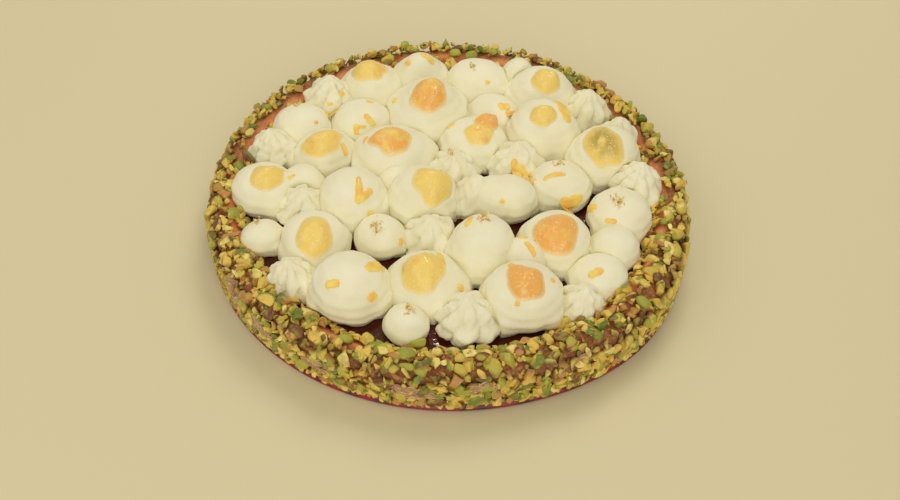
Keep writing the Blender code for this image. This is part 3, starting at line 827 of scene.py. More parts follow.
def lobes(plan, angles, up, groove):
    """How far a rosette reaches at each angle and height: lumpy ridges between grooves."""
    up = up[:, None]
    turned = angles - plan.first - RIDGE_TWIST * up + 0.10 * np.sin(2 * angles + plan.number)
    ridge = np.abs(np.cos(turned * plan.ridges / 2)) ** 0.8
    side = np.round(turned * plan.ridges / math.tau)
    burst = np.sin(up * 15 + side * 2.4 + plan.number)
    uneven = 1 + 0.30 * np.sin(side * 1.7 + plan.number)
    below = fade(up, 1, 0.75)
    if plan.node in MERGED:
        groove *= 0.4
    cut = groove * uneven * (0.35 + 0.65 * below) * (1 - ridge) * (1 - 0.35 * burst)
    return RIDGE_OUT * (1 - cut) * (1 + 0.06 * burst * ridge * below)


def press(plan, plans, radius, up, angles):
    """Flatten a piece where its neighbours and the slope press on it."""
    drift = (plan.lean * up ** 2)[:, None]
    centres = drift * (math.cos(plan.heading), math.sin(plan.heading)) + (plan.x, plan.y)
    heights = JAM_LEVEL + plan.height * up
    ways = np.stack([np.cos(angles), np.sin(angles)], -1)

    def reached(reach):
        flat = centres[:, None, :] + ways * reach[..., None]
        return np.concatenate([flat, np.broadcast_to(heights[:, None, None], reach.shape + (1,))], -1)

    for other in plans:
        if other is plan or other.node == plan.node and plan.node in MERGED:
            continue
        away, distance = between(plan, other)
        if distance > RIDGE_OUT * (plan.radius + other.radius) + GAP:
            continue
        split = (distance ** 2 + plan.radius ** 2 - other.radius ** 2) / (2 * distance)
        room = (((plan.x, plan.y) + away * split - centres) @ away)[:, None]
        facing = np.clip(ways @ away, 0.02, None)
        first, last = sorted((plan.number, other.number))
        wavy = CONTACT_WAVE * ripple(reached(room / facing), 0.014, first * 100 + last)
        room = room + (wavy if plan.number == first else -wavy) + CONTACT_OVERLAP / 2
        limit = np.where(ways @ away > 0.02, room / facing, np.inf)
        radius = soft_min(radius, np.maximum(limit, 0.0004), CONTACT_SOFTNESS)
    wall = WELL_RADIUS + np.clip(heights - SLOPE_FOOT, 0, None) / SLOPE - GAP
    along = centres @ ways.T
    limit = -along + np.sqrt(along ** 2 - (centres ** 2).sum(1)[:, None] + wall[:, None] ** 2)
    return reached(soft_min(radius, limit, CONTACT_SOFTNESS))


def piped_body(plan, plans, settings):
    """Points and faces of one piped piece."""
    angles = circle(CREAM_STEPS)
    rows = rosette_rows() if plan.ridges else dome_rows(*BELLS.get(plan.node, DOME))
    up, wide, tuck = (row[:, None] for row in rows)
    crowd = crowding(plan, plans, angles)
    spread = 1 + SPREAD * crowd * fade(up, 0.52, 0.22)
    radius = plan.radius * wide * spread * (1 - tuck * (1 - crowd))
    radius = radius * (1 + plan.oval * np.cos(2 * (angles - plan.heading)))
    if plan.ridges:
        radius = radius * lobes(plan, angles, rows[0], settings.groove)
    else:
        coil = np.sin(up * plan.height / NOZZLE_STEP * math.tau + angles + plan.number)
        radius = radius * (1 + settings.ring_depth * coil * fade(up, 1, 0.7) * fade(up, 0, 0.08))
    lump, size = LUMPS[plan.ridges > 0]
    ball = polar(radius, angles, plan.height * up) + (plan.x, plan.y, 0)
    radius = radius + lump * ripple(ball, size, plan.number) * fade(wide, 0, 0.4)
    rings = press(plan, plans, radius, rows[0], angles)
    return closed_stack(rings, rings[-1].mean(0) + (0, 0, plan.height * 0.004))


def cream_finish(settings):
    """Whipped cream: off-white, softly shining, with a faint grain."""
    recipe = Recipe("cream_finish", Roughness=0.55, Specular_IOR_Level=0.3)
    cloud = recipe.spots(0.010, 0.35, 0.65, 3.0, 0.6)
    recipe.surface(Base_Color=recipe.mix(cloud, settings.light, settings.warm))
    return recipe.relief(recipe.noise(0.0016, 3.0, 0.6) + recipe.noise(0.006), 0.00018)


def make_cream(settings):
    """Every dollop and rosette, pressed against its neighbours."""
    finish = cream_finish(settings)
    plans = cream_plans()
    bodies = {}
    for plan in plans:
        bodies.setdefault(plan.node, []).append(piped_body(plan, plans, settings))
    for node, parts in bodies.items():
        points, faces = joined(parts)
        kind = "dollop" if node.startswith("cream") else "star"
        make_piece(kind + node[-3:], points, faces, finish, "cream", [node])


def cream_surface():
    """All the piped cream as one thing to lay toppings on."""
    points, faces = [], []
    for obj in bpy.context.scene.objects:
        if obj.type == "MESH" and obj.get("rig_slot") == "cream":
            start = len(points)
            points += [vert.co.copy() for vert in obj.data.vertices]
            faces += [[start + i for i in face.vertices] for face in obj.data.polygons]
    if not faces:
        raise RuntimeError("the cream comes before what lies on it")
    return BVHTree.FromPolygons(points, faces)


class Seat:
    """A place on a piped piece for a topping: its spot, the way out of it and two ways across."""

    def __init__(self, surface, plans, node, dx, dy, turn=0.0):
        """The offsets from the piece's centre are in millimetres, and the turn is in degrees."""
        plan = next(plan for plan in plans if plan.node == node)
        dx, dy = dx * MM, dy * MM
        part = min((dx * dx + dy * dy) / plan.radius ** 2, 0.9)
        cap = plan.height * (1 - WIDEST)
        self.bend = plan.radius ** 2 / cap
        self.surface = surface
        self.normal = Vector((dx / plan.radius ** 2, dy / plan.radius ** 2,
                              math.sqrt(1 - part) / cap)).normalized()
        start = Vector((plan.x + dx, plan.y + dy, JAM_LEVEL + plan.height + 0.02))
        self.spot = surface.ray_cast(start, Vector((0, 0, -1)))[0]
        if self.spot is None:
            raise RuntimeError("nothing to lie on over " + node)
        along = Vector((math.cos(math.radians(turn)), math.sin(math.radians(turn)), 0))
        self.along = (along - self.normal * along.dot(self.normal)).normalized()
        self.across = self.normal.cross(self.along)
        self.out = np.array(self.normal)

    def drape(self, grid):
        """Lay offsets (along, across) on the cream, but not down into the gaps beside it."""
        laid = np.zeros((*grid.shape[:-1], 3))
        for place in np.ndindex(laid.shape[:-1]):
            a, b = grid[place]
            start = self.spot + self.along * a + self.across * b + self.normal * LAID_FROM
            hit = self.surface.ray_cast(start, -self.normal, LAID_FROM * 3)[0]
            down = (start - hit).length if hit is not None else LAID_FROM * 3
            lowest = LAID_FROM + DRAPE_SAG + (a * a + b * b) / DRAPE_BEND
            laid[place] = start - self.normal * min(down, lowest)
        return laid


def jelly_finish(settings):
    """Clear jelly over cream: deeper where it is thick, with small bubbles, pale specks painted on them as
    glints, and a wet gloss.
    """
    recipe = Recipe("jelly_finish", Roughness=0.30, Coat_Weight=0.35, Coat_Roughness=0.14)
    thick = recipe.stored("thick")
    blotch = recipe.noise(0.007)
    orange = recipe.ramp(recipe.stored("orange") + (blotch - 0.5) * 1.6, 0.35, 0.75)
    body = recipe.mix(orange, settings.yellow, settings.orange)
    murky = recipe.ramp(0 - recipe.stored("orange"), 0.0, 0.5) * recipe.ramp(thick, 0.45, 0.95)
    body = recipe.mix(murky * recipe.ramp(blotch, 0.35, 0.55), body, settings.murky)
    colour = recipe.mix(recipe.ramp(thick, 0.0, 0.34), settings.edge, body)
    # Pale specks painted into the colour at the bubbles: painted glints, partly the bubbles' own paleness;
    # the same specks give the bubbles slight relief
    bubble_and_glint_specks = 1 - recipe.ramp(recipe.cells(0.0017), 0.14, 0.30)
    recipe.surface(Base_Color=recipe.mix(bubble_and_glint_specks * 0.75, colour, settings.edge))
    return recipe.relief(recipe.noise(0.0018, 3.0, 0.6) + bubble_and_glint_specks * 0.12, 0.0006)


def jelly_body(seat, number, name, long, wide, turn, height, orange):
    """Points, faces and marks of one drop: a swelling over the cream, thin at its edge."""
    rho = np.linspace(0, 1, JELLY_RINGS + 1)[1:]
    angles = circle(JELLY_STEPS)
    turned = math.radians(turn)
    reach = 1 + sum(depth * np.sin(count * angles + turned) for count, depth in JELLY_WAVES)
    reach += 0.035 * np.sin(5 * angles + number)
    reach *= around(JELLY_FORMS.get(name, (1,) * 8), angles + turned)
    edge = np.stack([long * np.cos(angles), wide * np.sin(angles)], -1) * reach[:, None] * MM / 2
    base = seat.drape(rho[:, None, None] * edge)
    centre = seat.drape(np.zeros((1, 2)))[0]
    tall = height * MM - ((long + wide) / 4 * MM) ** 2 / (2 * seat.bend)
    swell = (1 - rho ** 2.6) ** 1.05
    lift = tall * swell[:, None] * (1 + 0.14 * ripple(base, 0.009, number)) - JELLY_SUNK
    under = (base - seat.out * JELLY_SUNK * 3)[:-1:5]
    top = (base + seat.out * lift[..., None])[::-1]
    rings = np.concatenate([under, base[-1:] - seat.out * JELLY_SUNK * 2, top])
    points, faces = closed_stack(rings, centre + seat.out * tall, centre - seat.out * JELLY_SUNK * 3)
    part = np.concatenate([np.zeros(len(under) + 1), swell[::-1]])
    return points, faces, [*np.repeat(part, JELLY_STEPS), 0, 1], [orange] * len(points)


def make_jelly(settings):
    """The jelly drops, each draped over its dollop."""
    finish = jelly_finish(settings)
    surface = cream_surface()
    plans = cream_plans()
    drops = {}
    for number, (name, node, dx, dy, *form) in enumerate(JELLY):
        seat = Seat(surface, plans, node, dx, dy, form[2])
        drops.setdefault(name, []).append(jelly_body(seat, number, name, *form))
    for name, parts in drops.items():
        points, faces = joined([part[:2] for part in parts])
        make_piece("drop" + name[-3:], points, faces, finish, "jelly", [name],
                   {"thick": np.concatenate([part[2] for part in parts]),
                    "orange": np.concatenate([part[3] for part in parts])})


def peel_finish(settings):
    """Candied peel: bright orange-yellow, moist, slightly pitted."""
    recipe = Recipe("peel_finish", Roughness=0.38, Coat_Weight=0.25, Coat_Roughness=0.15)
    recipe.surface(Base_Color=recipe.mix(recipe.spots(0.005, 0.42, 0.62), settings.bright, settings.deep))
    return recipe.relief(recipe.noise(0.0012, 3.0, 0.6), 0.0003)


def make_peel(settings):
    """Strips of candied peel, bent and ragged, lying on the cream."""
    surface = cream_surface()
    plans = cream_plans()
    draw = random.Random(PEEL_SEED)
    u, v = (np.linspace(-0.5, 0.5, steps) for steps in PEEL_STEPS)
    blunt = (1 - np.abs(2 * u) ** 5) ** 0.4
    crown = (1 - np.abs(2 * v) ** 4 * 0.5) * np.maximum(blunt, 0.4)[:, None]
    bits = [(node, dx, dy, size, size * draw.uniform(0.6, 0.9), turn, draw.uniform(-0.35, 0.35))
            for node, dx, dy, size, turn in PEEL_BITS]
    bodies = []
    for node, dx, dy, long, wide, turn, taper in list(PEEL) + bits:
        seat = Seat(surface, plans, node, dx, dy, turn)
        bend = draw.uniform(-0.12, 0.12) * long
        ragged = 1 + 0.12 * np.sin(u * 15 + draw.uniform(0, 6)) + taper * u * 2
        half = wide * ragged * np.maximum(blunt, 0.25)
        across = v * half[:, None] + (bend * 2 * u ** 2)[:, None]
        base = seat.drape(np.stack(np.broadcast_arrays(u[:, None] * long, across), -1) * MM)
        top = base + seat.out * (PEEL_THICKNESS * crown)[..., None]
        bodies.append(closed_stack(np.concatenate([base - seat.out * PEEL_SUNK, top[:, ::-1]], axis=1)))
    make_piece("peel", *joined(bodies), peel_finish(settings), "peel", sharp=math.radians(60))


def leaf_finish(settings):
    """Crumpled gold leaf."""
    recipe = Recipe("leaf_finish", Metallic=0.12, Roughness=0.25)
    recipe.surface(Base_Color=recipe.mix(recipe.spots(0.0012, 0.52, 0.62), settings.gold, settings.brown))
    return recipe.relief(recipe.noise(0.0006), 0.0002)


def make_leaf(settings):
    """Small crumpled flakes of gold leaf, scattered every way up on the cream."""
    surface = cream_surface()
    plans = cream_plans()
    draw = np.random.default_rng(LEAF_SEED)
    bodies = []
    side = np.linspace(-0.5, 0.5, LEAF_STEPS)
    u, v = np.meshgrid(side, side, indexing="ij")
    for node, dx, dy, spread in LEAF:
        seat = Seat(surface, plans, node, dx, dy)
        for _ in range(int(LEAF_FLAKES * spread)):
            size = draw.uniform(*LEAF_SIZE)
            twist = Quaternion(draw.normal(size=3), draw.uniform(0, math.tau)).to_matrix()
            scatter = Vector(draw.normal(size=3) * (spread, spread * 1.4, 0.3)) * MM
            place = seat.spot + scatter + seat.normal * 0.0005
            crumple = draw.normal(size=u.shape) * LEAF_CRUMPLE
            sheet = np.stack([u + crumple, v + crumple.T, crumple * 1.6], -1) * size
            sheet = sheet @ np.array(twist).T + np.array(place)
            facing = np.array(twist.col[2]) * LEAF_THICKNESS / 2
            bodies.append(closed_stack(np.concatenate([sheet - facing, (sheet + facing)[:, ::-1]], axis=1)))
    make_piece("gold_leaf", *joined(bodies), leaf_finish(settings), "gold_leaf", sharp=math.radians(30))


def nut_finish(settings):
    """Chopped pistachio: yellow-green flesh on cut faces, green or purple-brown outside, with painted shade
    mixed with sticky brown where the pieces sit down in the coat.
    """
    recipe = Recipe("nut_finish", Roughness=0.5, Subsurface_Weight=0.12, Subsurface_Scale=0.001,
                    Coat_Weight=0.15, Coat_Roughness=0.25)
    flesh = recipe.node("ValToRGB", {"stops": (
        (0.0, settings.pale), (0.28, settings.flesh), (0.56, settings.flesh), (0.68, settings.green),
        (0.78, settings.toasted), (0.88, settings.toasted), (0.94, settings.dark_green),
        (1.0, settings.dark_green))}, {0: recipe.stored("tone")})
    outside = recipe.node("ValToRGB", {"stops": (
        (0.0, settings.flesh), (0.38, settings.green), (0.72, settings.dark_green), (0.80, settings.skin),
        (1.0, settings.skin))}, {0: recipe.stored("coat")})
    colour = recipe.mix(recipe.stored("cut"), outside, flesh)
    colour = recipe.mix(recipe.spots(0.0035, 0.48, 0.66) * 0.5, colour, settings.green)
    colour = recipe.mix(recipe.spots(0.0022, 0.45, 0.8, 3.0, 0.6) * 0.4, colour, settings.toasted)
    # Painted shade, mixed with sticky brown stain, in patches on the parts of the nuts that sit down in the
    # coat, where shade falls between the pieces
    sticky = (1 - recipe.stored("clean")) * recipe.spots(0.006, 0.25, 0.55)
    recipe.surface(Base_Color=recipe.mix(sticky * 0.9, colour, settings.stain_and_painted_shade))
    return recipe.relief(recipe.noise(0.0008), 0.00025)


def glaze_finish(settings):
    """Set glaze: a cloudy light brown film with paler streaks along the side."""
    recipe = Recipe("glaze_finish", Roughness=0.24, Coat_Weight=0.5, Coat_Roughness=0.12)
    streak = recipe.maths("PINGPONG", recipe.stored("level") + recipe.noise(0.006) * 0.8, 0.5) * 2
    recipe.surface(Base_Color=recipe.mix(streak * 0.6, settings.sticky, settings.pale),
                   Alpha=recipe.ramp(streak * 0.2 + recipe.noise(0.005), 0.25, 0.70) * 0.75 + 0.2)
    return recipe.relief(recipe.noise(0.0012), 0.0002)


def make_glaze(settings):
    """Ragged films of glaze that bridge the nuts where it has run and set."""
    graph = bpy.context.evaluated_depsgraph_get()
    trees = [BVHTree.FromObject(obj, graph) for obj in bpy.context.scene.objects
             if obj.get("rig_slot") in ("nuts", "crust")]
    bodies, levels = [], []
    rho = np.linspace(0.06, 1, GLAZE_STEPS[0])[:, None]
    turns = circle(GLAZE_STEPS[1])
    for number, (azimuth, height, long, wide, slant) in enumerate(GLAZE):
        ragged = rho * (1 + sum(depth * np.sin(count * turns + part * number)
                                for count, depth, part in GLAZE_RAGGED)) * MM / 2
        a = ragged * long * np.cos(turns)
        b = ragged * wide * np.sin(turns)
        lean, rise = math.cos(math.radians(slant)), math.sin(math.radians(slant))
        angle = math.radians(azimuth) + (a * lean - b * rise) / SHELL_RADIUS
        outward = unit(polar(1.0, angle, 0.35))
        root = polar(SHELL_RADIUS, angle, height * MM + a * rise + b * lean)
        out = np.zeros(angle.shape)
        for place in np.ndindex(angle.shape):
            start = Vector(root[place] + outward[place] * LAID_FROM)
            hits = [tree.ray_cast(start, Vector(-outward[place]), LAID_FROM * 2)[3] for tree in trees]
            out[place] = LAID_FROM - min(hit for hit in [*hits, LAID_FROM] if hit is not None)
        for _ in range(3):
            near = (np.roll(out, 1, 1) + np.roll(out, -1, 1)) / 2
            near[1:-1] = (near[1:-1] * 2 + out[:-2] + out[2:]) / 4
            out = np.maximum(out, near)
        ridge = np.sin(b / GLAZE_RIDGE * math.tau + a / MM * 0.3) * 0.00012
        film = root + outward * (out + 0.0003 * (1 - rho ** 3) + ridge)[..., None]
        film[..., :2] *= np.minimum(1, NUT_OUTERMOST / round_axis(film)[0])[..., None]
        under = (film - outward * GLAZE_THICKNESS)[::3]
        bodies.append(closed_stack(np.concatenate([under, film[::-1]])))
        levels += [*(np.concatenate([b[::3], b[::-1]]) / GLAZE_RIDGE).ravel(), 0, 0]
    make_piece("glaze", *joined(bodies), glaze_finish(settings), "glaze", marks={"level": levels})


def round_pebble(detail):
    """Points and triangles of a ball of unit radius."""
    edit = bmesh.new()
    bmesh.ops.create_icosphere(edit, subdivisions=detail, radius=1.0)
    points = np.array([vert.co[:] for vert in edit.verts])
    faces = np.array([[vert.index for vert in face.verts] for face in edit.faces])
    edit.free()
    return points, faces


def chop(sizes, frames, centres, cuts, offsets, detail):
    """Many chopped pieces at once: balls cut by planes, stretched, turned and put in place."""
    ball, faces = round_pebble(detail)
    body = np.broadcast_to(ball, (len(sizes), *ball.shape)).copy()
    for k in range(cuts.shape[1]):
        over = np.einsum("nvc,nc->nv", body, cuts[:, k]) - offsets[:, k, None]
        body -= np.clip(over, 0, None)[..., None] * cuts[:, None, k]
    removed = 1 - np.linalg.norm(body, axis=-1)
    cut = np.clip(removed[:, faces].mean(-1) * 9 - 0.25, 0, 1)
    body = np.einsum("nvc,nkc->nvk", body * sizes[:, None, :] / 2, frames) + centres[:, None, :]
    starts = np.arange(len(sizes))[:, None, None] * len(ball)
    return body.reshape(-1, 3), (faces + starts).reshape(-1, 3).tolist(), cut.reshape(-1)


def add_nuts(name, finish, chopped, marks):
    """Make one piece of chopped nuts."""
    points, faces, cut = chopped
    marks = {key: np.repeat(values, len(faces) // len(values)) for key, values in marks.items()}
    # The mark is nothing where a nut sits in the coat and one from 2 mm out of it; nearer the coat the finish
    # paints shade mixed with sticky brown
    make_piece(name, points, faces, finish, "nuts", sharp=NUT_CREASE,
               marks={"cut": cut, "clean": fade(above_coat(points), -0.0002, 0.0020), **marks})


def tones(draw, count):
    """What colours each nut: the tone of its flesh and of its outside."""
    return {"tone": draw.uniform(0, 1, count), "coat": draw.uniform(0, 1, count)}


def nut_section():
    """The line that the nuts lie on: up the side, over the rim and down the slope."""
    return walk(shell_profile()[2:10], 0.0002)


def section_frame(line, along):
    """Radius, height and facing of places along the section."""
    total = distances(line)

    def at(places):
        return np.stack([np.interp(places, total, line[:, k]) for k in (0, 1)], -1)

    ahead = unit(at(along + 0.0015) - at(along - 0.0015))
    return *at(along).T, ahead[:, 1], -ahead[:, 0]


def frames_from(normals, spins, tips):
    """Turning matrices whose third column is a tipped normal, spun by an angle."""
    helper = np.where(np.abs(normals[:, 2:3]) < 0.8, [[0, 0, 1.0]], [[1.0, 0, 0]])
    first = unit(np.cross(helper, normals))
    second = np.cross(normals, first)
    x = first * np.cos(spins)[:, None] + second * np.sin(spins)[:, None]
    z = normals * np.cos(tips)[:, None] + np.cross(normals, x) * np.sin(tips)[:, None]
    return np.stack([x, np.cross(z, x), z], -1)


def hold_inside(places, room=0.0):
    """Pull places back that lie past the outermost line of nuts, and lift those below the lowest."""
    radius, angle = round_axis(places)
    places[:, :2] *= np.minimum(1, (NUT_OUTERMOST + bulge(angle, SHELL_RADIUS) - room) / radius)[:, None]
    places[:, 2] = np.maximum(places[:, 2], NUT_LOWEST)
    return places


def above_coat(places):
    """How far places lie outside the coat or above the rim, in metres."""
    radius, angle = round_axis(places)
    side = radius - SHELL_RADIUS - COAT - bulge(angle, SHELL_RADIUS)
    top = places[:, 2] - RIM_HEIGHT + np.clip((SLOPE_TOP[0] + 0.002 - radius) * SLOPE, 0, None)
    return np.maximum(side, top)


def large_nuts():
    """Place, size, turn and corners of the large pieces, in the order that the solid has them in."""
    draw = random.Random(NUT_SEED)
    plans = cream_plans()
    nuts = []

    def places(rows):
        for row, (level, count) in enumerate(rows):
            for i in range(count):
                yield level, (i + row / 2 + draw.uniform(-ROW_SCATTER, ROW_SCATTER)) * math.tau / count

    def add(spot, normal):
        long = draw.uniform(*NUT_LENGTH)
        wide = long * draw.uniform(*NUT_SLENDER)
        thick = long * draw.uniform(*NUT_FLAT)
        turn = normal.to_track_quat("Z", "Y").to_matrix() @ Matrix.Rotation(draw.uniform(0, math.tau), 3, "Z")
        turn = turn @ Matrix.Rotation(draw.uniform(-NUT_TIP, NUT_TIP), 3, "X")
        corners = [(draw.uniform(-CORNER_TURN, CORNER_TURN), draw.uniform(*CORNER_REACH))
                   for _ in range(NUT_CORNERS)]
        nuts.append((spot + normal * thick * (0.5 - NUT_SUNK), (long, wide, thick), turn, corners))

    coat = {height: radius for radius, height, _ in shell_profile()[2:7]}
    levels = sorted(coat)
    for height, angle in places(SIDE_ROWS):
        level = height + draw.uniform(-SIDE_SCATTER, SIDE_SCATTER)
        radius = np.interp(level, levels, [coat[z] for z in levels]) + wave(angle)
        radius += bulge(angle, SHELL_RADIUS)
        outward = Vector((math.cos(angle), math.sin(angle), 0))
        add(outward * radius + Vector((0, 0, level)), outward)
    for radius, angle in places(RIM_ROWS):
        place = radius + draw.uniform(-RIM_SCATTER, RIM_SCATTER)
        height, tilt = rim_at(place)
        outward = Vector((math.cos(angle), math.sin(angle), 0))
        spot = outward * (place + wave(angle) + bulge(angle, place))
        spot.z = height + wave(angle + RISE_PHASE)
        nearest = min(math.hypot(spot.x - plan.x, spot.y - plan.y)
                      - plan.radius * (RIDGE_OUT if plan.ridges else 1) for plan in plans)
        if nearest >= NUT_LENGTH[1] / 2 + NUT_CLEARANCE:
            add(spot, Vector((-outward.x * tilt, -outward.y * tilt, 1)).normalized())
    return nuts


def rim_at(radius):
    """Height of the rim's top, and how steeply it rises inward, at a radius."""
    profile = shell_profile()
    for (outer, high, _), (inner, low, _) in zip(profile[5:], profile[6:10]):
        if inner <= radius <= outer:
            part = (outer - radius) / (outer - inner)
            return high + (low - high) * part, (high - low) / (outer - inner)
    return RIM_HEIGHT, 0.0


def make_loose_nut(finish):
    """The green piece that fell on the jam in front of a small dollop."""
    x, y, z, long, wide, turn = LOOSE_NUT
    cuts = unit(np.random.default_rng(NUT_SEED).normal(size=(1, 5, 3)))
    frames = frames_from(np.array([[0, -0.4, 0.92]]), np.array([math.radians(turn)]), np.zeros(1))
    chopped = chop(np.array([[long, wide, wide]]) * MM, frames, np.array([[x, y, z]]) * MM, cuts,
                   np.full((1, 5), 0.6), 3)
    add_nuts("nut_loose", finish, chopped, {"tone": [0.68], "coat": [0.45]})


def make_large_nuts(finish):
    """The large pieces, near-whole and half kernels among them."""
    centres, sizes, frames, corners = (np.array(column) for column in zip(*large_nuts()))
    turns = np.arange(NUT_CORNERS) * math.pi * (3 - math.sqrt(5)) + corners[:, :, 0]
    high = 1 - 2 * (np.arange(NUT_CORNERS) + 0.5) / NUT_CORNERS
    cuts = polar(np.sqrt(1 - high ** 2), turns, high)[:, 2:8]
    offsets = 0.62 + (corners[:, 2:8, 1] - CORNER_REACH[0]) * 2.2
    points, faces, cut = chop(sizes * 0.94, frames, centres, cuts, offsets, 3)
    add_nuts("nuts_large", finish, (hold_inside(points), faces, cut),
             tones(np.random.default_rng(NUT_SEED), len(sizes)))


def nut_grid(line, pitch, draw):
    """Angles and distances up the section, a pitch apart, shaken up, in staggered rows."""
    count = int(math.tau * SHELL_RADIUS / pitch)
    spots = []
    for row in range(int(distances(line)[-1] / pitch)):
        angles = (np.arange(count) + 0.5 * (row % 2) + draw.uniform(-0.45, 0.45, count)) * math.tau / count
        spots.append((angles, (row + 0.5) * pitch + draw.uniform(-0.45, 0.45, count) * pitch))
    return np.concatenate(spots, axis=1)


def make_fine_nuts(finish):
    """The smaller pieces that fill the coat between the large ones, layer on layer."""
    line = nut_section()
    plans = cream_plans()
    for number, (name, longest, shortest, pitch, lift) in enumerate(NUT_PASSES):
        draw = np.random.default_rng(NUT_SEED * 7 + number)
        angles, along = nut_grid(line, pitch * MM, draw)
        radius, height, out, up = section_frame(line, along)
        ragged = 0.0018 * ripple(polar(1.0, angles, 0 * angles), 0.12, 51)
        keep = (radius > around(NUT_EDGE, angles) * MM + ragged) | (height < SHOULDER)
        x, y = radius * np.cos(angles), radius * np.sin(angles)
        for plan in plans:
            keep &= np.hypot(x - plan.x, y - plan.y) > plan.radius + 0.0006
        angles, radius, height, out, up = (column[keep] for column in (angles, radius, height, out, up))
        count = len(angles)
        long = draw.uniform(shortest, longest, count) * MM
        wide, thick = (long * draw.uniform(*limits, count) for limits in (FINE_SLENDER, FINE_FLAT))
        normals = polar(out, angles, up)
        heap = draw.uniform(0, lift, count) * MM * (1 + HEAPED * np.clip(np.sin(angles), 0, 1))
        centres = polar(radius + wave(angles) + bulge(angles, radius), angles, height)
        centres += normals * (thick * 0.3 + heap)[:, None]
        centres[:, 2] += np.clip(NUT_LOWEST - centres[:, 2] + long * 0.35, 0, None)
        frames = frames_from(normals, draw.uniform(0, math.tau, count), draw.normal(0, 0.5, count))
        cuts = unit(draw.normal(size=(count, 9, 3)))
        offsets = draw.uniform(0.22, 0.70, (count, 9))
        centres = hold_inside(centres, thick * 0.42)
        sizes = np.stack([long, wide, thick], -1) * FINE_SWELL
        points, faces, cut = chop(sizes, frames, centres, cuts, offsets, 2 if number else 3)
        add_nuts(name, finish, (hold_inside(points), faces, cut), tones(draw, count))


def put_out(name, data, place, turn):
    """Add a lamp or camera to the scene."""
    holder = bpy.data.objects.new(name, data)
    holder.location = place
    holder.rotation_euler = turn.to_euler()
    bpy.context.scene.collection.objects.link(holder)
    return holder


def make_stage(settings):
    """Plain pale floor, soft light, and a camera at the viewing angle."""
    scene = bpy.context.scene
    scene.view_settings.view_transform = "Standard"
    bpy.ops.mesh.primitive_plane_add(size=24, location=(0, 0, -0.0005))
    floor = bpy.context.object
    floor.name = "floor"
    recipe = Recipe("floor_finish", Roughness=0.6)
    recipe.surface(Base_Color=settings.floor)
    floor.data.materials.append(recipe.material)
    scene.world = bpy.data.worlds.new("soft_sky")
    scene.world.use_nodes = True
    sky = scene.world.node_tree.nodes["Background"]
    sky.inputs["Color"].default_value = settings.sky
    sky.inputs["Strength"].default_value = settings.sky_strength
    for name, (place, size, part, matt, glossy) in LAMPS.items():
        lamp = bpy.data.lights.new(name, "AREA")
        lamp.size = size
        lamp.energy = settings.key_power * part
        lamp.color = settings.sky[:3]
        holder = put_out(name, lamp, place, (-Vector(place)).to_track_quat("-Z", "Y"))
        holder.visible_diffuse = matt
        holder.visible_glossy = glossy
    camera = bpy.data.cameras.new("camera")
    camera.lens = settings.focal_length
    camera.clip_start = 0.01
    camera.clip_end = 20
    aim = (Vector(CAMERA_AIM) - Vector(CAMERA_PLACE)).to_track_quat("-Z", "Y")
    scene.camera = put_out("camera", camera, CAMERA_PLACE, aim @ Quaternion((0, 0, 1), CAMERA_ROLL))


class StageOperator(bpy.types.Operator):
    """Make the floor, the light and the camera."""

    bl_idname = "tart.stage"
    bl_label = "Stage"

    def execute(self, context):
        make_stage(context.scene.tart_stage)
        return {"FINISHED"}


class CrustOperator(bpy.types.Operator):
    """Make the baked shell."""

    bl_idname = "tart.crust"
    bl_label = "Shell"

    def execute(self, context):
        make_crust(context.scene.tart_crust)
        return {"FINISHED"}


class JamOperator(bpy.types.Operator):
    """Make the jam."""

    bl_idname = "tart.jam"
    bl_label = "Jam"

    def execute(self, context):
        make_jam(context.scene.tart_jam)
        return {"FINISHED"}


class CreamOperator(bpy.types.Operator):
    """Make the dollops and rosettes of cream."""

    bl_idname = "tart.cream"
    bl_label = "Piped Cream"

    def execute(self, context):
        make_cream(context.scene.tart_cream)
        return {"FINISHED"}


class NutsOperator(bpy.types.Operator):
    """Make the chopped nuts on the side and the rim."""

    bl_idname = "tart.nuts"
    bl_label = "Chopped Nuts"

    def execute(self, context):
        finish = nut_finish(context.scene.tart_nuts)
        make_large_nuts(finish)
        make_fine_nuts(finish)
        make_loose_nut(finish)
        return {"FINISHED"}


class GlazeOperator(bpy.types.Operator):
    """Make the glaze that has set over the nuts."""

    bl_idname = "tart.glaze"
    bl_label = "Glaze"

    def execute(self, context):
        make_glaze(context.scene.tart_glaze)
        return {"FINISHED"}


class JellyOperator(bpy.types.Operator):
    """Make the jelly drops on the cream."""

    bl_idname = "tart.jelly"
    bl_label = "Jelly Drops"

    def execute(self, context):
        make_jelly(context.scene.tart_jelly)
        return {"FINISHED"}


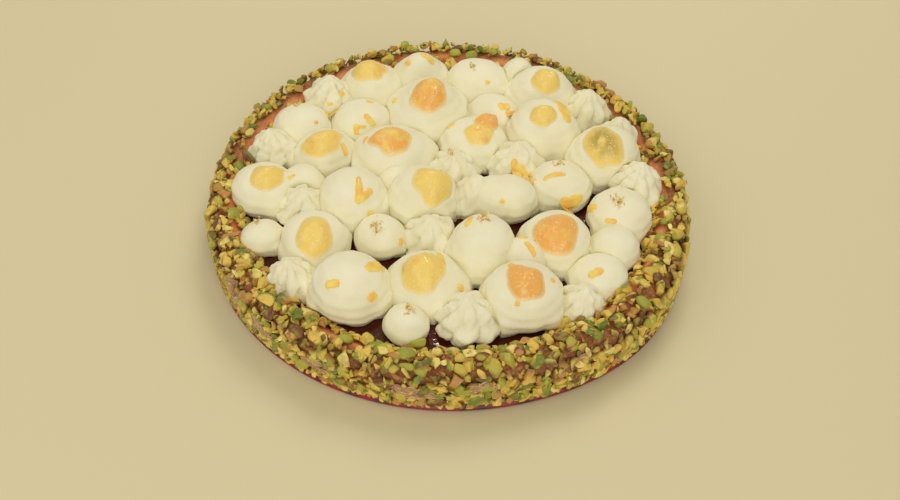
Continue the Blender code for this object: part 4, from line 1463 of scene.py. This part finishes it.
class PeelOperator(bpy.types.Operator):
    """Make the candied peel on the cream."""

    bl_idname = "tart.peel"
    bl_label = "Candied Peel"

    def execute(self, context):
        make_peel(context.scene.tart_peel)
        return {"FINISHED"}


class LeafOperator(bpy.types.Operator):
    """Make the touches of gold leaf."""

    bl_idname = "tart.leaf"
    bl_label = "Gold Leaf"

    def execute(self, context):
        make_leaf(context.scene.tart_leaf)
        return {"FINISHED"}


STEPS = (
    ("tart_stage", StageSettings, StageOperator),
    ("tart_crust", CrustSettings, CrustOperator),
    ("tart_jam", JamSettings, JamOperator),
    ("tart_cream", CreamSettings, CreamOperator),
    ("tart_nuts", NutSettings, NutsOperator),
    ("tart_glaze", GlazeSettings, GlazeOperator),
    ("tart_jelly", JellySettings, JellyOperator),
    ("tart_peel", PeelSettings, PeelOperator),
    ("tart_leaf", LeafSettings, LeafOperator),
)


class TartPanel(bpy.types.Panel):
    """Lists the steps that build the tart, with their sizes and colours."""

    bl_idname = "VIEW3D_PT_tart"
    bl_label = "Round Jam Tart"
    bl_space_type = "VIEW_3D"
    bl_region_type = "UI"
    bl_category = "Tart"

    def draw(self, context):
        for key, settings, operator in STEPS:
            box = self.layout.box()
            box.operator(operator.bl_idname)
            for name in settings.__annotations__:
                box.prop(getattr(context.scene, key), name)


def register():
    for key, settings, operator in STEPS:
        bpy.utils.register_class(settings)
        bpy.utils.register_class(operator)
        setattr(bpy.types.Scene, key, bpy.props.PointerProperty(type=settings))
    bpy.utils.register_class(TartPanel)


def unregister():
    bpy.utils.unregister_class(TartPanel)
    for key, settings, operator in reversed(STEPS):
        delattr(bpy.types.Scene, key)
        bpy.utils.unregister_class(operator)
        bpy.utils.unregister_class(settings)


def main():
    """Build everything in order."""
    register()
    bpy.ops.tart.stage()
    bpy.ops.tart.crust()
    bpy.ops.tart.jam()
    bpy.ops.tart.cream()
    bpy.ops.tart.nuts()
    bpy.ops.tart.glaze()
    bpy.ops.tart.jelly()
    bpy.ops.tart.peel()
    bpy.ops.tart.leaf()


if __name__ == "__main__":
    main()
